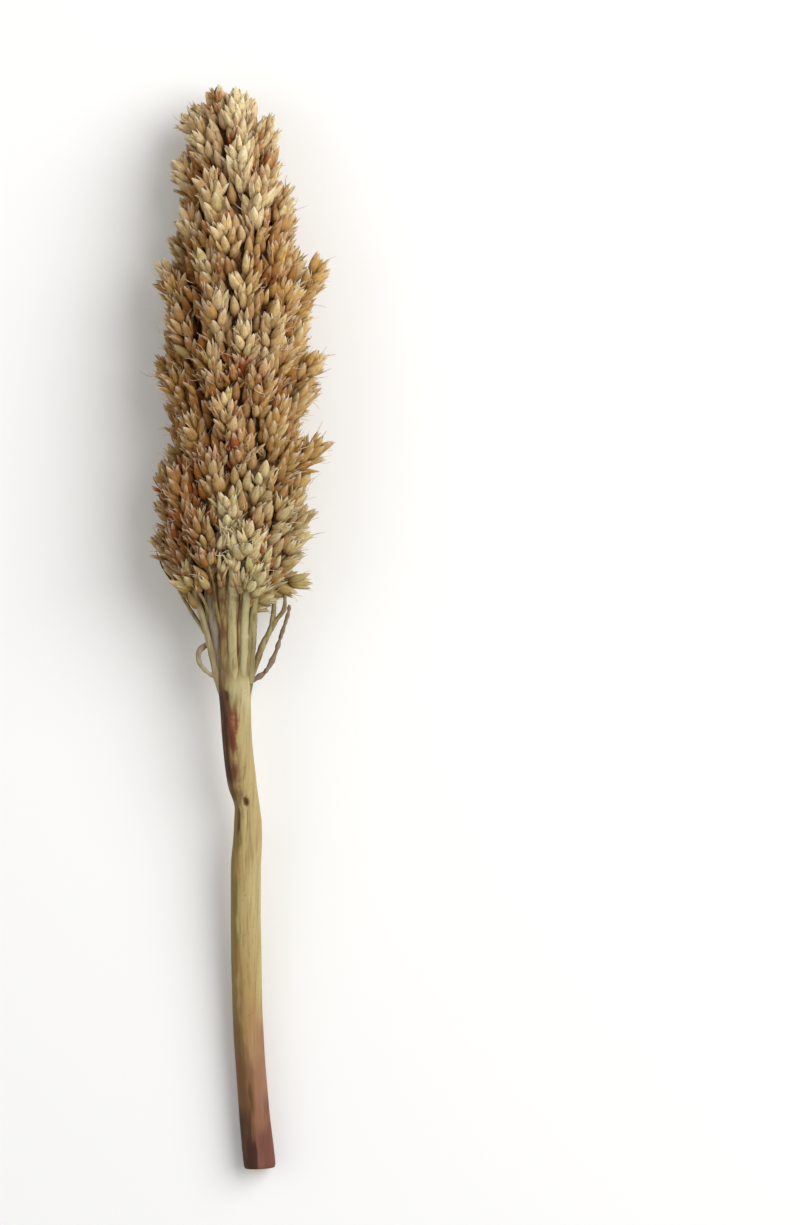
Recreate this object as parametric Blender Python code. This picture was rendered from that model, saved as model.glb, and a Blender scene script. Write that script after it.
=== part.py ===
"""A dried sorghum seed head, cut with its stalk and lying on its side.

Metres, +Z up. +Y runs from the stalk's cut end to the head's tip, +X is to the right
seen from above. The origin is on the surface that the head lies on, under the middle
of its length and width.
"""

import math
import random

import bmesh
import bpy
from mathutils import Matrix, Vector

# Driving dimensions
LENGTH = 0.3046  # cut end of the stalk to the tip of the head
COLLAR_Y = -0.0157  # where the stalk ends and the lowest branches leave it
CUT_END_Y = -LENGTH / 2
TIP_Y = LENGTH / 2
FLATTENED = 0.88  # the head's height over its width, pressed by lying down
CLEARANCE = 0.0003  # between the stalk's parts and the head that grows round them

# The centre line, as (y, value): sideways and above the surface
AXIS_X = (
    (CUT_END_Y, 0.0053), (-0.130, 0.0032), (-0.105, 0.0018), (-0.068, 0.0015), (-0.058, 0.0021),
    (-0.050, 0.0019), (-0.043, 0.0004), (-0.030, -0.0009), (COLLAR_Y, -0.0016), (0.006, -0.0040),
    (0.018, -0.0026), (0.032, -0.0012), (0.060, -0.0006), (0.100, -0.0008), (0.128, -0.0024),
    (0.143, -0.0046), (TIP_Y, -0.0066),
)
AXIS_Z = (
    (CUT_END_Y, 0.0043), (-0.110, 0.0060), (-0.060, 0.0105), (COLLAR_Y, 0.0155), (0.020, 0.0171),
    (0.090, 0.0172), (0.130, 0.0150), (TIP_Y, 0.0125),
)

# The stalk's radius, as (y, radius): thick at the cut, pinched at the kink, up to the collar,
# and from there the rachis that runs on inside the head
STALK_RADIUS = (
    (CUT_END_Y, 0.0045), (-0.120, 0.0042), (-0.065, 0.0042), (-0.055, 0.0039), (-0.0495, 0.0035),
    (-0.043, 0.0041), (-0.030, 0.0042), (-0.019, 0.0045), (COLLAR_Y, 0.0049), (-0.010, 0.0042),
    (0.010, 0.0036), (0.060, 0.0026), (0.115, 0.0014),
)
RACHIS_END_Y = 0.115
STALK_SIDES = 14
STALK_RINGS = 40
STALK_SHARP_ANGLE = math.radians(40)

# The head's half-width out to the husks' tips, and its solid middle, as (y, radius)
HEAD_RADIUS = (
    (0.002, 0.0085), (0.0076, 0.0123), (0.0132, 0.0180), (0.019, 0.0198), (0.030, 0.0212),
    (0.050, 0.0206), (0.075, 0.0210), (0.092, 0.0208), (0.103, 0.0188), (0.108, 0.0176),
    (0.120, 0.0162), (0.131, 0.0147), (0.141, 0.0126), (0.147, 0.0094), (0.150, 0.0062), (TIP_Y, 0.0015),
)
CORE_RADIUS = (
    (0.000, 0.0050), (0.006, 0.0080), (0.016, 0.0128), (0.030, 0.0148), (0.060, 0.0148),
    (0.092, 0.0142), (0.108, 0.0118), (0.124, 0.0096), (0.136, 0.0072), (0.142, 0.0040),
)
CORE_SIDES = 12
CORE_RINGS = 16

# Hollows in the head's outline between its sprays, as (y, degrees round from +X, half its length,
# share of the radius that it sinks)
HOLLOWS = (
    (0.0840, 2, 0.0040, 0.16),
    (0.0600, 2, 0.0080, 0.26),
    (0.0395, 4, 0.0050, 0.22),
    (0.0100, 0, 0.0070, 0.22),
    (0.0800, 180, 0.0060, 0.14),
    (0.0500, 180, 0.0045, 0.14),
    (0.0335, 180, 0.0050, 0.14),
    (0.0200, 180, 0.0045, 0.12),
    (0.0040, 180, 0.0050, 0.16),
)
HOLLOW_SPREAD = math.radians(35)

# Ears: upright sprays of husked grain, set round the head in a golden-angle spiral
EARS = 94
GOLDEN_ANGLE = math.radians(137.508)
EAR_LENGTH = 0.0215
EAR_LEAN = ((0.010, 34), (0.035, 25), (0.110, 20), (TIP_Y, 8))  # degrees off the centre line
FIRST_EAR_Y = 0.014  # where the tips of the lowest ears reach
ROOT_DEPTH = 0.8  # an ear's root is never nearer the core's surface than this share of its radius
SEED = 41

# Loose ears that stand clear of the head, as (y of the tip, degrees round the head from +X,
# reach past the middle line, lean in degrees, length)
LOOSE_EARS = (
    (0.1028, 3, 0.0246, 20, 0.021),
    (0.0775, 8, 0.0238, 30, 0.018),
    (0.0675, -6, 0.0222, 50, 0.014),
    (0.0535, 4, 0.0252, 44, 0.020),
    (0.0345, 10, 0.0218, 40, 0.015),
    (0.0165, -4, 0.0222, 74, 0.013),
    (0.1045, 176, 0.0216, 8, 0.019),
    (0.0765, 184, 0.0222, 14, 0.018),
    (0.0450, 172, 0.0228, 24, 0.018),
    (0.0240, 186, 0.0226, 34, 0.017),
    (0.0080, 183, 0.0130, 45, 0.012),
    (0.1465, 174, 0.0122, 42, 0.013),
    (0.1330, 182, 0.0155, 28, 0.014),
    (0.1523, 60, 0.0008, 2, 0.018),
    (0.1500, 5, 0.0062, 10, 0.018),
    (0.1495, 185, 0.0056, 12, 0.018),
)

# An ear's three-sided body, as (share of its length from the root, radius). Pointed husks
# stand on its two outer sides, larger than life so that few cover the head
EAR_BODY = ((0.28, 0.0028), (0.50, 0.0035), (0.70, 0.0030), (0.86, 0.0019))
HUSK_RISE = 0.0023  # how far a husk's point stands off its ear
HUSK_REACH = 0.0016  # how far it reaches past the next husk's foot
HUSK_WANDER = 0.0006  # how far it strays to either side

# Branches that spread from the collar into the head's base
BRANCHES = 11
BRANCH_RADIUS = 0.00085
BRANCH_SIDES = 6
BRANCH_ENDS_Y = 0.017
BRANCH_POINTS = 7

# Bare twigs, as points (x, y, height above the centre line)
CURLED_TWIG = (
    (-0.0030, -0.0155, 0.001), (-0.0085, -0.0130, 0.002), (-0.0112, -0.0100, 0.002),
    (-0.0113, -0.0068, 0.001), (-0.0090, -0.0050, 0.000), (-0.0066, -0.0062, -0.001),
    (-0.0050, -0.0085, -0.002),
)
FORKED_TWIG = (
    (0.0030, -0.0150, 0.000), (0.0046, -0.0105, 0.001), (0.0062, -0.0055, 0.001),
    (0.0086, -0.0005, 0.000), (0.0094, 0.0040, -0.001), (0.0096, 0.0085, -0.001),
)
TWIG_FORK = (
    (0.0078, -0.0022, 0.000), (0.0104, 0.0022, 0.000), (0.0124, 0.0050, 0.001), (0.0126, 0.0095, 0.001),
)
PLAIN_TWIG = (
    (0.0020, -0.0157, -0.002), (0.0068, -0.0128, -0.003), (0.0096, -0.0080, -0.003),
    (0.0116, -0.0020, -0.003), (0.0134, 0.0035, -0.003), (0.0138, 0.0062, -0.003),
)
TWIG_RADIUS = 0.0007
TWIG_TIP_RADIUS = 0.0005

# Colours, as linear RGB
STRAW_GREEN = (0.42, 0.33, 0.15, 1.0)
HUSK_TAN = (0.47, 0.33, 0.16, 1.0)


def along(stations, y):
    """The value at y on a smooth curve through the (y, value) stations."""
    last = len(stations) - 1
    y = min(max(y, stations[0][0]), stations[last][0])
    i = max(k for k in range(last) if stations[k][0] <= y)

    def slope(k):
        below, above = stations[max(k - 1, 0)], stations[min(k + 1, last)]
        return (above[1] - below[1]) / (above[0] - below[0])

    (y0, v0), (y1, v1) = stations[i], stations[i + 1]
    span = y1 - y0
    t = (y - y0) / span
    from_ends = v0 + (v1 - v0) * t * t * (3 - 2 * t)
    from_slopes = span * t * (1 - t) * (slope(i) * (1 - t) - slope(i + 1) * t)
    return from_ends + from_slopes


def axis_point(y):
    return Vector((along(AXIS_X, y), y, along(AXIS_Z, y)))


def axis_frame(y):
    """(tangent, sideways, upwards) of the centre line at y."""
    step = 0.001
    tangent = (axis_point(y + step) - axis_point(y - step)).normalized()
    sideways = tangent.cross(Vector((0, 0, 1))).normalized()
    return tangent, sideways, sideways.cross(tangent)


def outward_at(y, azimuth):
    """Direction away from the centre line at y, azimuth being 0 to the right and 90 degrees up."""
    tangent, sideways, upwards = axis_frame(y)
    return sideways * math.cos(azimuth) + upwards * math.sin(azimuth) * FLATTENED


def surface_point(y, azimuth, radius):
    return axis_point(y) + outward_at(y, azimuth) * radius


def object_from(name, bm):
    mesh = bpy.data.meshes.new(name)
    bmesh.ops.recalc_face_normals(bm, faces=bm.faces)
    bm.to_mesh(mesh)
    bm.free()
    obj = bpy.data.objects.new(name, mesh)
    bpy.context.scene.collection.objects.link(obj)
    return obj


def skin_rings(bm, rings):
    """Joins rings of points into one tube with closed ends."""
    made = [[bm.verts.new(p) for p in ring] for ring in rings]
    for low, high in zip(made, made[1:]):
        for k in range(len(low)):
            n = (k + 1) % len(low)
            bm.faces.new((low[k], low[n], high[n], high[k]))
    bm.faces.new(made[0][::-1])
    bm.faces.new(made[-1])


def tube_through(name, points, radii, sides):
    """A tube through the points, its rings square to the way it runs."""
    bm = bmesh.new()
    rings = []
    last = len(points) - 1
    across = (points[1] - points[0]).orthogonal()
    for i, point in enumerate(points):
        tangent = (points[min(i + 1, last)] - points[max(i - 1, 0)]).normalized()
        across = (across - tangent * tangent.dot(across)).normalized()
        other = tangent.cross(across)
        angles = [math.tau * k / sides for k in range(sides)]
        rings.append([point + (across * math.cos(a) + other * math.sin(a)) * radii[i] for a in angles])
    skin_rings(bm, rings)
    return object_from(name, bm)


def smooth_path(points):
    """The points with one more between each two, set on a smooth curve."""
    found = []
    for i in range(len(points) - 1):
        a, b = points[i], points[i + 1]
        before, after = points[max(i - 1, 0)], points[min(i + 2, len(points) - 1)]
        found.append(a)
        found.append((a + b) * 0.5625 - (before + after) * 0.0625)
    return found + [points[-1]]


def stalk_tube(grow):
    """The cut stalk and the rachis, one tapering tube along the centre line."""
    ys = [CUT_END_Y + (RACHIS_END_Y - CUT_END_Y) * k / STALK_RINGS for k in range(STALK_RINGS + 1)]
    points = [axis_point(y) for y in ys]
    radii = [along(STALK_RADIUS, y) + grow for y in ys]
    points[-1] += axis_frame(RACHIS_END_Y)[0] * grow
    return tube_through("stalk_tube", points, radii, STALK_SIDES)


def branches(grow):
    """Branches that hug the rachis above the collar, then spread into the head's base."""
    rng = random.Random(SEED + 1)
    made = []
    for i in range(BRANCHES):
        azimuth = math.tau * (i + rng.uniform(-0.2, 0.2)) / BRANCHES
        root_y = COLLAR_Y + rng.uniform(-0.001, 0.002)
        end_y = BRANCH_ENDS_Y + rng.uniform(-0.003, 0.003)
        spread = along(CORE_RADIUS, end_y) * rng.uniform(0.72, 0.9)
        stations = ((root_y, 0.0036), (root_y + 0.004, 0.0050), (0.000, 0.0062), (end_y, spread))
        shares = [k / (BRANCH_POINTS - 1) for k in range(BRANCH_POINTS)]
        ys = [root_y + (end_y - root_y) * share for share in shares]
        points = [surface_point(y, azimuth, along(stations, y)) for y in ys]
        radii = [BRANCH_RADIUS * (1.15 - 0.4 * share) + grow for share in shares]
        made.append(tube_through("branch", points, radii, BRANCH_SIDES))
    return made


def twig(route, grow):
    """One bare twig, tapering from its root to its tip."""
    points = [Vector((x, y, along(AXIS_Z, COLLAR_Y) + height)) for x, y, height in route]
    path = smooth_path(points)
    taper = (TWIG_TIP_RADIUS - TWIG_RADIUS) / (len(path) - 1)
    radii = [TWIG_RADIUS + taper * k + grow for k in range(len(path))]
    return tube_through("twig", path, radii, BRANCH_SIDES)


def stalk_pieces(grow=0.0):
    """Every shape that the stalk is fused from, each thicker by grow."""
    routes = (CURLED_TWIG, FORKED_TWIG, TWIG_FORK, PLAIN_TWIG)
    return [stalk_tube(grow), *branches(grow), *(twig(route, grow) for route in routes)]


def ear_at(y, azimuth, radius, lean, length):
    """(root, tip, outward) of an ear whose tip is that far from the centre line at y."""
    tangent = axis_frame(y)[0]
    outward = outward_at(y, azimuth).normalized()
    tip = surface_point(y, azimuth, radius)
    root = tip - (tangent * math.cos(lean) + outward * math.sin(lean)) * length
    root.y = max(root.y, CORE_RADIUS[0][0] + 0.002)
    middle = axis_point(root.y)
    off = root - middle
    deepest = along(CORE_RADIUS, root.y) * ROOT_DEPTH
    if off.length > deepest:
        root = middle + off * (deepest / off.length)
    return root, tip, outward


def hollow_at(y, azimuth):
    """The share by which the head's outline sinks in there, between its sprays."""
    deepest = 0.0
    for hollow_y, degrees, half_length, share in HOLLOWS:
        turn = math.remainder(azimuth - math.radians(degrees), math.tau) / HOLLOW_SPREAD
        off = (y - hollow_y) / half_length
        deepest = max(deepest, share * math.exp(-turn * turn - off * off))
    return deepest


def ear_layout():
    """Root, tip and outward direction of every ear, the same each run."""
    rng = random.Random(SEED)
    steps = 400
    ys = [FIRST_EAR_Y + (TIP_Y - FIRST_EAR_Y) * k / steps for k in range(steps + 1)]
    areas = [0.0]
    for low, high in zip(ys, ys[1:]):
        taper = along(HEAD_RADIUS, high) - along(HEAD_RADIUS, low)
        areas.append(areas[-1] + along(HEAD_RADIUS, high) * math.hypot(high - low, taper))
    found = []
    for i in range(EARS):
        wanted = areas[-1] * (i + 0.5) / EARS
        y = ys[next(k for k, area in enumerate(areas) if area >= wanted)] + rng.uniform(-0.0015, 0.0015)
        azimuth = i * GOLDEN_ANGLE + rng.uniform(-0.12, 0.12)
        radius = along(HEAD_RADIUS, y) * rng.uniform(0.90, 1.04) * (1 - hollow_at(y, azimuth))
        lean = math.radians(along(EAR_LEAN, y) + rng.uniform(-6, 6))
        found.append(ear_at(y, azimuth, radius, lean, EAR_LENGTH * rng.uniform(0.88, 1.12)))
    for y, degrees, reach, lean, length in LOOSE_EARS:
        found.append(ear_at(y, math.radians(degrees), reach, math.radians(lean), length))
    return found


def add_husk(bm, corners, away, onward, rng):
    """A pointed husk on the face between four corners, the first two at its foot."""
    a, b, c, d = corners
    rise = away * HUSK_RISE * rng.uniform(0.8, 1.2)
    wander = onward.cross(away) * rng.uniform(-HUSK_WANDER, HUSK_WANDER)
    point = bm.verts.new((c.co + d.co) / 2 + rise + onward * HUSK_REACH + wander)
    for start, end in ((a, b), (b, c), (c, d), (d, a)):
        bm.faces.new((start, end, point))


def close_end(bm, ring, place):
    """Draws a ring together to one point."""
    point = bm.verts.new(place)
    for k in range(len(ring)):
        bm.faces.new((ring[k], ring[(k + 1) % len(ring)], point))


def ear(place, rng):
    """One ear: a three-sided body from its root to its tip, with pointed husks on two sides."""
    root, tip, outward = place
    length = (tip - root).length
    direction = (tip - root) / length
    facing = (outward - direction * outward.dot(direction)).normalized()
    side = direction.cross(facing)
    angles = [math.tau * k / 3 for k in range(3)]
    corners = [facing * math.cos(a) + side * math.sin(a) for a in angles]
    bm = bmesh.new()
    rings = []
    for share, radius in EAR_BODY:
        middle = root + direction * length * share
        rings.append([bm.verts.new(middle + way * radius) for way in corners])
    for low, high in zip(rings, rings[1:]):
        bm.faces.new((low[1], low[2], high[2], high[1]))
        for k, away in ((0, -corners[2]), (2, -corners[1])):
            n = (k + 1) % 3
            add_husk(bm, (low[k], low[n], high[n], high[k]), away, direction, rng)
    close_end(bm, rings[0], root)
    close_end(bm, rings[-1], tip)
    return object_from("ear", bm)


def head_core(rng):
    """The solid middle of the head, itself covered with husks, which the ears stand out of."""
    bm = bmesh.new()
    first, last = CORE_RADIUS[0][0], CORE_RADIUS[-1][0]
    rings = []
    for row in range(CORE_RINGS + 1):
        y = first + (last - first) * row / CORE_RINGS
        angles = [math.tau * (k + 0.5 * (row % 2)) / CORE_SIDES for k in range(CORE_SIDES)]
        rings.append([bm.verts.new(surface_point(y, a, along(CORE_RADIUS, y))) for a in angles])
    for row in range(CORE_RINGS):
        y = first + (last - first) * (row + 0.5) / CORE_RINGS
        onward = axis_frame(y)[0]
        for k in range(CORE_SIDES):
            n = (k + 1) % CORE_SIDES
            shift = row % 2
            a, b = rings[row][k], rings[row][n]
            c, d = rings[row + 1][(n + shift) % CORE_SIDES], rings[row + 1][(k + shift) % CORE_SIDES]
            away = outward_at(y, math.tau * (k + 0.5 + 0.5 * shift) / CORE_SIDES)
            add_husk(bm, (a, b, c, d), away, onward, rng)
    close_end(bm, rings[0], axis_point(first))
    close_end(bm, rings[-1], axis_point(last + 0.002))
    return object_from("head_core", bm)


def apply_boolean(obj, others, operation):
    """Joins or cuts obj by the other objects at once, then removes them."""
    group = bpy.data.collections.new("operands")
    bpy.context.scene.collection.children.link(group)
    for other in others:
        bpy.context.scene.collection.objects.unlink(other)
        group.objects.link(other)
    boolean = obj.modifiers.new(operation, "BOOLEAN")
    boolean.operation = operation
    boolean.operand_type = "COLLECTION"
    boolean.collection = group
    graph = bpy.context.evaluated_depsgraph_get()
    result = bpy.data.meshes.new_from_object(obj.evaluated_get(graph))
    obj.modifiers.clear()
    obj.data = result
    for other in others:
        bpy.data.objects.remove(other)
    bpy.data.collections.remove(group)
    return obj


def keep_outer_body(obj):
    """Drops scraps and the skins of sealed hollows, so that one solid body is left."""
    bm = bmesh.new()
    bm.from_mesh(obj.data)
    unseen = set(bm.verts)
    bodies = []
    while unseen:
        body = set()
        waiting = [unseen.pop()]
        while waiting:
            vert = waiting.pop()
            body.add(vert)
            near = {edge.other_vert(vert) for edge in vert.link_edges} & unseen
            unseen -= near
            waiting.extend(near)
        bodies.append(body)
    largest = max(bodies, key=len)
    bmesh.ops.delete(bm, geom=[v for v in bm.verts if v not in largest], context="VERTS")
    bmesh.ops.triangulate(bm, faces=bm.faces)
    bm.to_mesh(obj.data)
    bm.free()
    return obj


def ground_block():
    """Everything under the surface that the head lies on, to press the lowest husks flat."""
    bm = bmesh.new()
    size = Vector((0.2, 0.5, 0.02))
    below = Matrix.Translation((0, 0, -size.z / 2))
    bmesh.ops.create_cube(bm, size=1, matrix=below @ Matrix.Diagonal((*size, 1)))
    return object_from("ground_block", bm)


def material(name, colour, roughness):
    made = bpy.data.materials.new(name)
    made.use_nodes = True
    shader = made.node_tree.nodes["Principled BSDF"]
    shader.inputs["Base Color"].default_value = colour
    shader.inputs["Roughness"].default_value = roughness
    shader.inputs["Metallic"].default_value = 0.0
    return made


def named(obj, name, finish):
    obj.name = name
    obj.data.name = name
    obj.data.materials.clear()
    obj.data.materials.append(finish)
    return obj


def make_stalk():
    tube, *others = stalk_pieces()
    apply_boolean(tube, others, "UNION")
    apply_boolean(tube, [ground_block()], "DIFFERENCE")
    keep_outer_body(tube)
    tube.data.shade_smooth()
    tube.data.set_sharp_from_angle(angle=STALK_SHARP_ANGLE)
    return named(tube, "stalk", material("straw_green", STRAW_GREEN, 0.55))


def make_seed_head():
    rng = random.Random(SEED + 2)
    core = head_core(rng)
    apply_boolean(core, [ear(place, rng) for place in ear_layout()], "UNION")
    apply_boolean(core, [*stalk_pieces(CLEARANCE), ground_block()], "DIFFERENCE")
    return named(keep_outer_body(core), "seed_head", material("husk_tan", HUSK_TAN, 0.7))


def main():
    for obj in list(bpy.data.objects):
        bpy.data.objects.remove(obj)
    make_stalk()
    make_seed_head()


main()
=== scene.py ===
"""The looks of a dried sorghum seed head, cut with its stalk and lying on its side.

Metres, +Z up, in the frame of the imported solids: +Y runs from the stalk's cut end to the
head's tip, and the surface it lies on is z = 0.
"""

import math
import random

import bpy
import numpy as np
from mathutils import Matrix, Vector, noise


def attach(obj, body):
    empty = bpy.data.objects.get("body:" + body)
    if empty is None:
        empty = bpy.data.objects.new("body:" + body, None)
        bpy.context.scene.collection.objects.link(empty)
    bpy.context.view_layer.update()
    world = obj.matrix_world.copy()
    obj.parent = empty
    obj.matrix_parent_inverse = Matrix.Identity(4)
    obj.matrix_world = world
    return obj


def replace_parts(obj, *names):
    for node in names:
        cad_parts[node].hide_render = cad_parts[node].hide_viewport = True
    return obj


# The photograph's frame, and the object's place and scale in it
PHOTO_SIZE = (800, 1225)  # pixels
METRES_PER_PIXEL = 0.00028
ORIGIN_PIXEL = (240, 627)
CAMERA_HEIGHT = 1.6
SCALE_HEIGHT = 0.014  # where the photograph's scale holds
MILLIMETRE = 0.001

# Lights as (place, size, power), the sky and the floor
KEY_LIGHT = ((0.80, 0.40, 0.90), 1.2, 15.0)
FILL_LIGHT = ((-0.9, 0.1, 0.8), 0.9, 1.8)
SKY = (1.0, 0.99, 0.97)
SKY_STRENGTH = 0.47
FLOOR_COLOUR = (0.93, 0.93, 0.92)
FLOOR_HALF = 3.0

# The centre line and sizes of the solids, as (y, value)
LENGTH = 0.3046
COLLAR_Y = -0.0157
CUT_END_Y = -LENGTH / 2
TIP_Y = LENGTH / 2
FLATTENED = 0.88
AXIS_X = (
    (CUT_END_Y, 0.0053), (-0.130, 0.0032), (-0.105, 0.0018), (-0.068, 0.0015), (-0.058, 0.0021),
    (-0.050, 0.0019), (-0.043, 0.0004), (-0.030, -0.0009), (COLLAR_Y, -0.0016), (0.006, -0.0040),
    (0.018, -0.0026), (0.032, -0.0012), (0.060, -0.0006), (0.100, -0.0008), (0.128, -0.0024),
    (0.143, -0.0046), (TIP_Y, -0.0066),
)
AXIS_Z = (
    (CUT_END_Y, 0.0043), (-0.110, 0.0060), (-0.060, 0.0105), (COLLAR_Y, 0.0155), (0.020, 0.0171),
    (0.090, 0.0172), (0.130, 0.0150), (TIP_Y, 0.0125),
)
STALK_RADIUS = (
    (CUT_END_Y, 0.0045), (-0.120, 0.0042), (-0.065, 0.0042), (-0.055, 0.0039), (-0.0495, 0.0035),
    (-0.043, 0.0041), (-0.030, 0.0042), (-0.019, 0.0045), (COLLAR_Y, 0.0049), (-0.010, 0.0042),
    (0.010, 0.0036), (0.060, 0.0026), (0.115, 0.0014),
)
HEAD_RADIUS = (
    (0.002, 0.0085), (0.0076, 0.0123), (0.0132, 0.0180), (0.019, 0.0198), (0.030, 0.0212),
    (0.050, 0.0206), (0.075, 0.0210), (0.092, 0.0208), (0.103, 0.0188), (0.108, 0.0176),
    (0.120, 0.0162), (0.131, 0.0147), (0.141, 0.0126), (0.147, 0.0094), (0.150, 0.0062), (TIP_Y, 0.0015),
)
CORE_RADIUS = (
    (0.000, 0.0050), (0.006, 0.0080), (0.016, 0.0128), (0.030, 0.0148), (0.060, 0.0148),
    (0.092, 0.0142), (0.108, 0.0118), (0.124, 0.0096), (0.136, 0.0072), (0.142, 0.0040),
)

# Hollows in the head's outline between its sprays, as (y, degrees round from +X, half its length,
# share of the radius that it sinks)
HOLLOWS = (
    (0.0840, 2, 0.0040, 0.16),
    (0.0600, 2, 0.0080, 0.26),
    (0.0395, 4, 0.0050, 0.22),
    (0.0100, 0, 0.0070, 0.22),
    (0.0800, 180, 0.0060, 0.14),
    (0.0500, 180, 0.0045, 0.14),
    (0.0335, 180, 0.0050, 0.14),
    (0.0200, 180, 0.0045, 0.12),
    (0.0040, 180, 0.0050, 0.16),
)
HOLLOW_SPREAD = math.radians(35)

# Ears, placed as in the solids
EARS = 94
GOLDEN_ANGLE = math.radians(137.508)
EAR_LENGTH = 0.0215
EAR_LEAN = ((0.010, 34), (0.035, 25), (0.110, 20), (TIP_Y, 8))  # degrees off the centre line
FIRST_EAR_Y = 0.014
ROOT_DEPTH = 0.8
SEED = 41
LOOSE_EARS = (  # (y of the tip, degrees round from +X, distance out, degrees of lean, length)
    (0.1028, 3, 0.0246, 20, 0.021),
    (0.0775, 8, 0.0238, 30, 0.018),
    (0.0675, -6, 0.0222, 50, 0.014),
    (0.0535, 4, 0.0252, 44, 0.020),
    (0.0345, 10, 0.0218, 40, 0.015),
    (0.0165, -4, 0.0222, 74, 0.013),
    (0.1045, 176, 0.0216, 8, 0.019),
    (0.0765, 184, 0.0222, 14, 0.018),
    (0.0450, 172, 0.0228, 24, 0.018),
    (0.0240, 186, 0.0226, 34, 0.017),
    (0.0080, 183, 0.0130, 45, 0.012),
    (0.1465, 174, 0.0122, 42, 0.013),
    (0.1330, 182, 0.0155, 28, 0.014),
    (0.1523, 60, 0.0008, 2, 0.018),
    (0.1500, 5, 0.0062, 10, 0.018),
    (0.1495, 185, 0.0056, 12, 0.018),
)

# Stalk: the skin's mesh, its ribs, and the marks on it as (degrees round from +X, y, half the
# angle it covers, half its length, strength)
SKIN_SIDES = 72
SKIN_STEP = 0.0005
SKIN_END_Y = 0.014
RIBS = 23
RIB_HEIGHT = 0.00005
CORNER_ROUNDING = 0.00035  # round the cut
END_RINGS = ((0.10, 0.4), (0.00, 0.72), (0.00, 0.9))  # (depth in millimetres, share of the radius)
BUD_SCAR = (91, -0.0484, 13, 0.0011, 1.0)
BUD_RIM = (91, -0.0480, 24, 0.0021, 1.0)
BUD_GROOVE = (88, -0.0590, 8, 0.0095, 1.0)
KINK_CREASE = (133, -0.0540, 9, 0.0028, 1.0)
RED_STAINS = (
    (109, -0.0285, 20, 0.0062, 1.1), (89, -0.0262, 9, 0.0036, 0.9), (113, -0.0380, 12, 0.0055, 0.7),
    (104, -0.0440, 9, 0.0030, 0.45), (255, -0.0330, 20, 0.0070, 0.8),
)
BROWN_STAINS = (
    (148, -0.0310, 46, 0.0170, 1.35), (120, -0.0190, 12, 0.0022, 1.1), (124, -0.0150, 13, 0.0050, 0.55),
    (106, -0.0220, 36, 0.0048, 0.6), (133, -0.0540, 12, 0.0040, 1.0), (91, -0.0484, 16, 0.0013, 1.1),
    (88, -0.0590, 3, 0.0095, 0.45), (97, -0.1310, 17, 0.0125, 0.72), (300, -0.0620, 16, 0.0100, 0.7),
    (215, -0.0950, 14, 0.0090, 0.6),
)
END_COLOUR_Y = -0.100  # where the colours of the cut end begin
END_COLOUR_LENGTH = 0.050  # the length over which they take over

# Branches above the collar, the first of them as in the solids, and bare twigs beside them
BRANCHES = 11
BRANCH_RADIUS = 0.00085
BRANCH_ENDS_Y = 0.017
BRANCH_STEPS = 26
TWIG_SIDES = 12
BROAD_STEPS = 9  # along a broad stem, from one point of its route to the next
EXTRA_BRANCHES = 12
FRONT_SECTOR = (48, 142)  # degrees between which broad stems stand in for the branches
FRONT_BARE_Y = 0.021  # no spikelets deep in the head there, up to here
LOW_EARS_Y = 0.024  # the stems of the ears there start from the collar, up to here
BARE_PLACES = (  # where no husks cover the stems, as (degrees, half the angle, up to this y)
    (101, 51, 0.0095), (90, 26, 0.0165), (185, 42, 0.0062), (350, 40, 0.0048),
)

# Routes of the bare twigs and of one more branch on the left, in millimetres, as (x, y, height
# above the centre line at the collar)
CURLED_TWIG = (
    (-3, -15.5, 1), (-8.5, -13, 2), (-11.2, -10, 2), (-11.3, -6.8, 1), (-9, -5, 0), (-6.6, -6.2, -1),
    (-5, -8.5, -2),
)
FORKED_TWIG = (
    (3, -15, 0), (4.6, -10.5, 1), (6.2, -5.5, 1), (8.6, -0.5, 0), (9.4, 4, -1), (9.6, 8.5, -1),
)
TWIG_FORK = (
    (7.8, -2.2, 0), (10.4, 2.2, 0), (12.4, 5, 1), (12.6, 9.5, 1),
)
PLAIN_TWIG = (
    (2, -15.7, -2), (6.8, -12.8, -3), (9.6, -8, -3), (11.6, -2, -3), (13.4, 3.5, -3), (13.8, 6.2, -3),
)
LEFT_BRANCH = (
    (-5, -11, 1), (-6.8, -7.5, 1), (-8, -4.2, 1), (-11.2, 0.8, 0), (-14.4, 5.6, -1), (-17.2, 10.5, -1),
)

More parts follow.
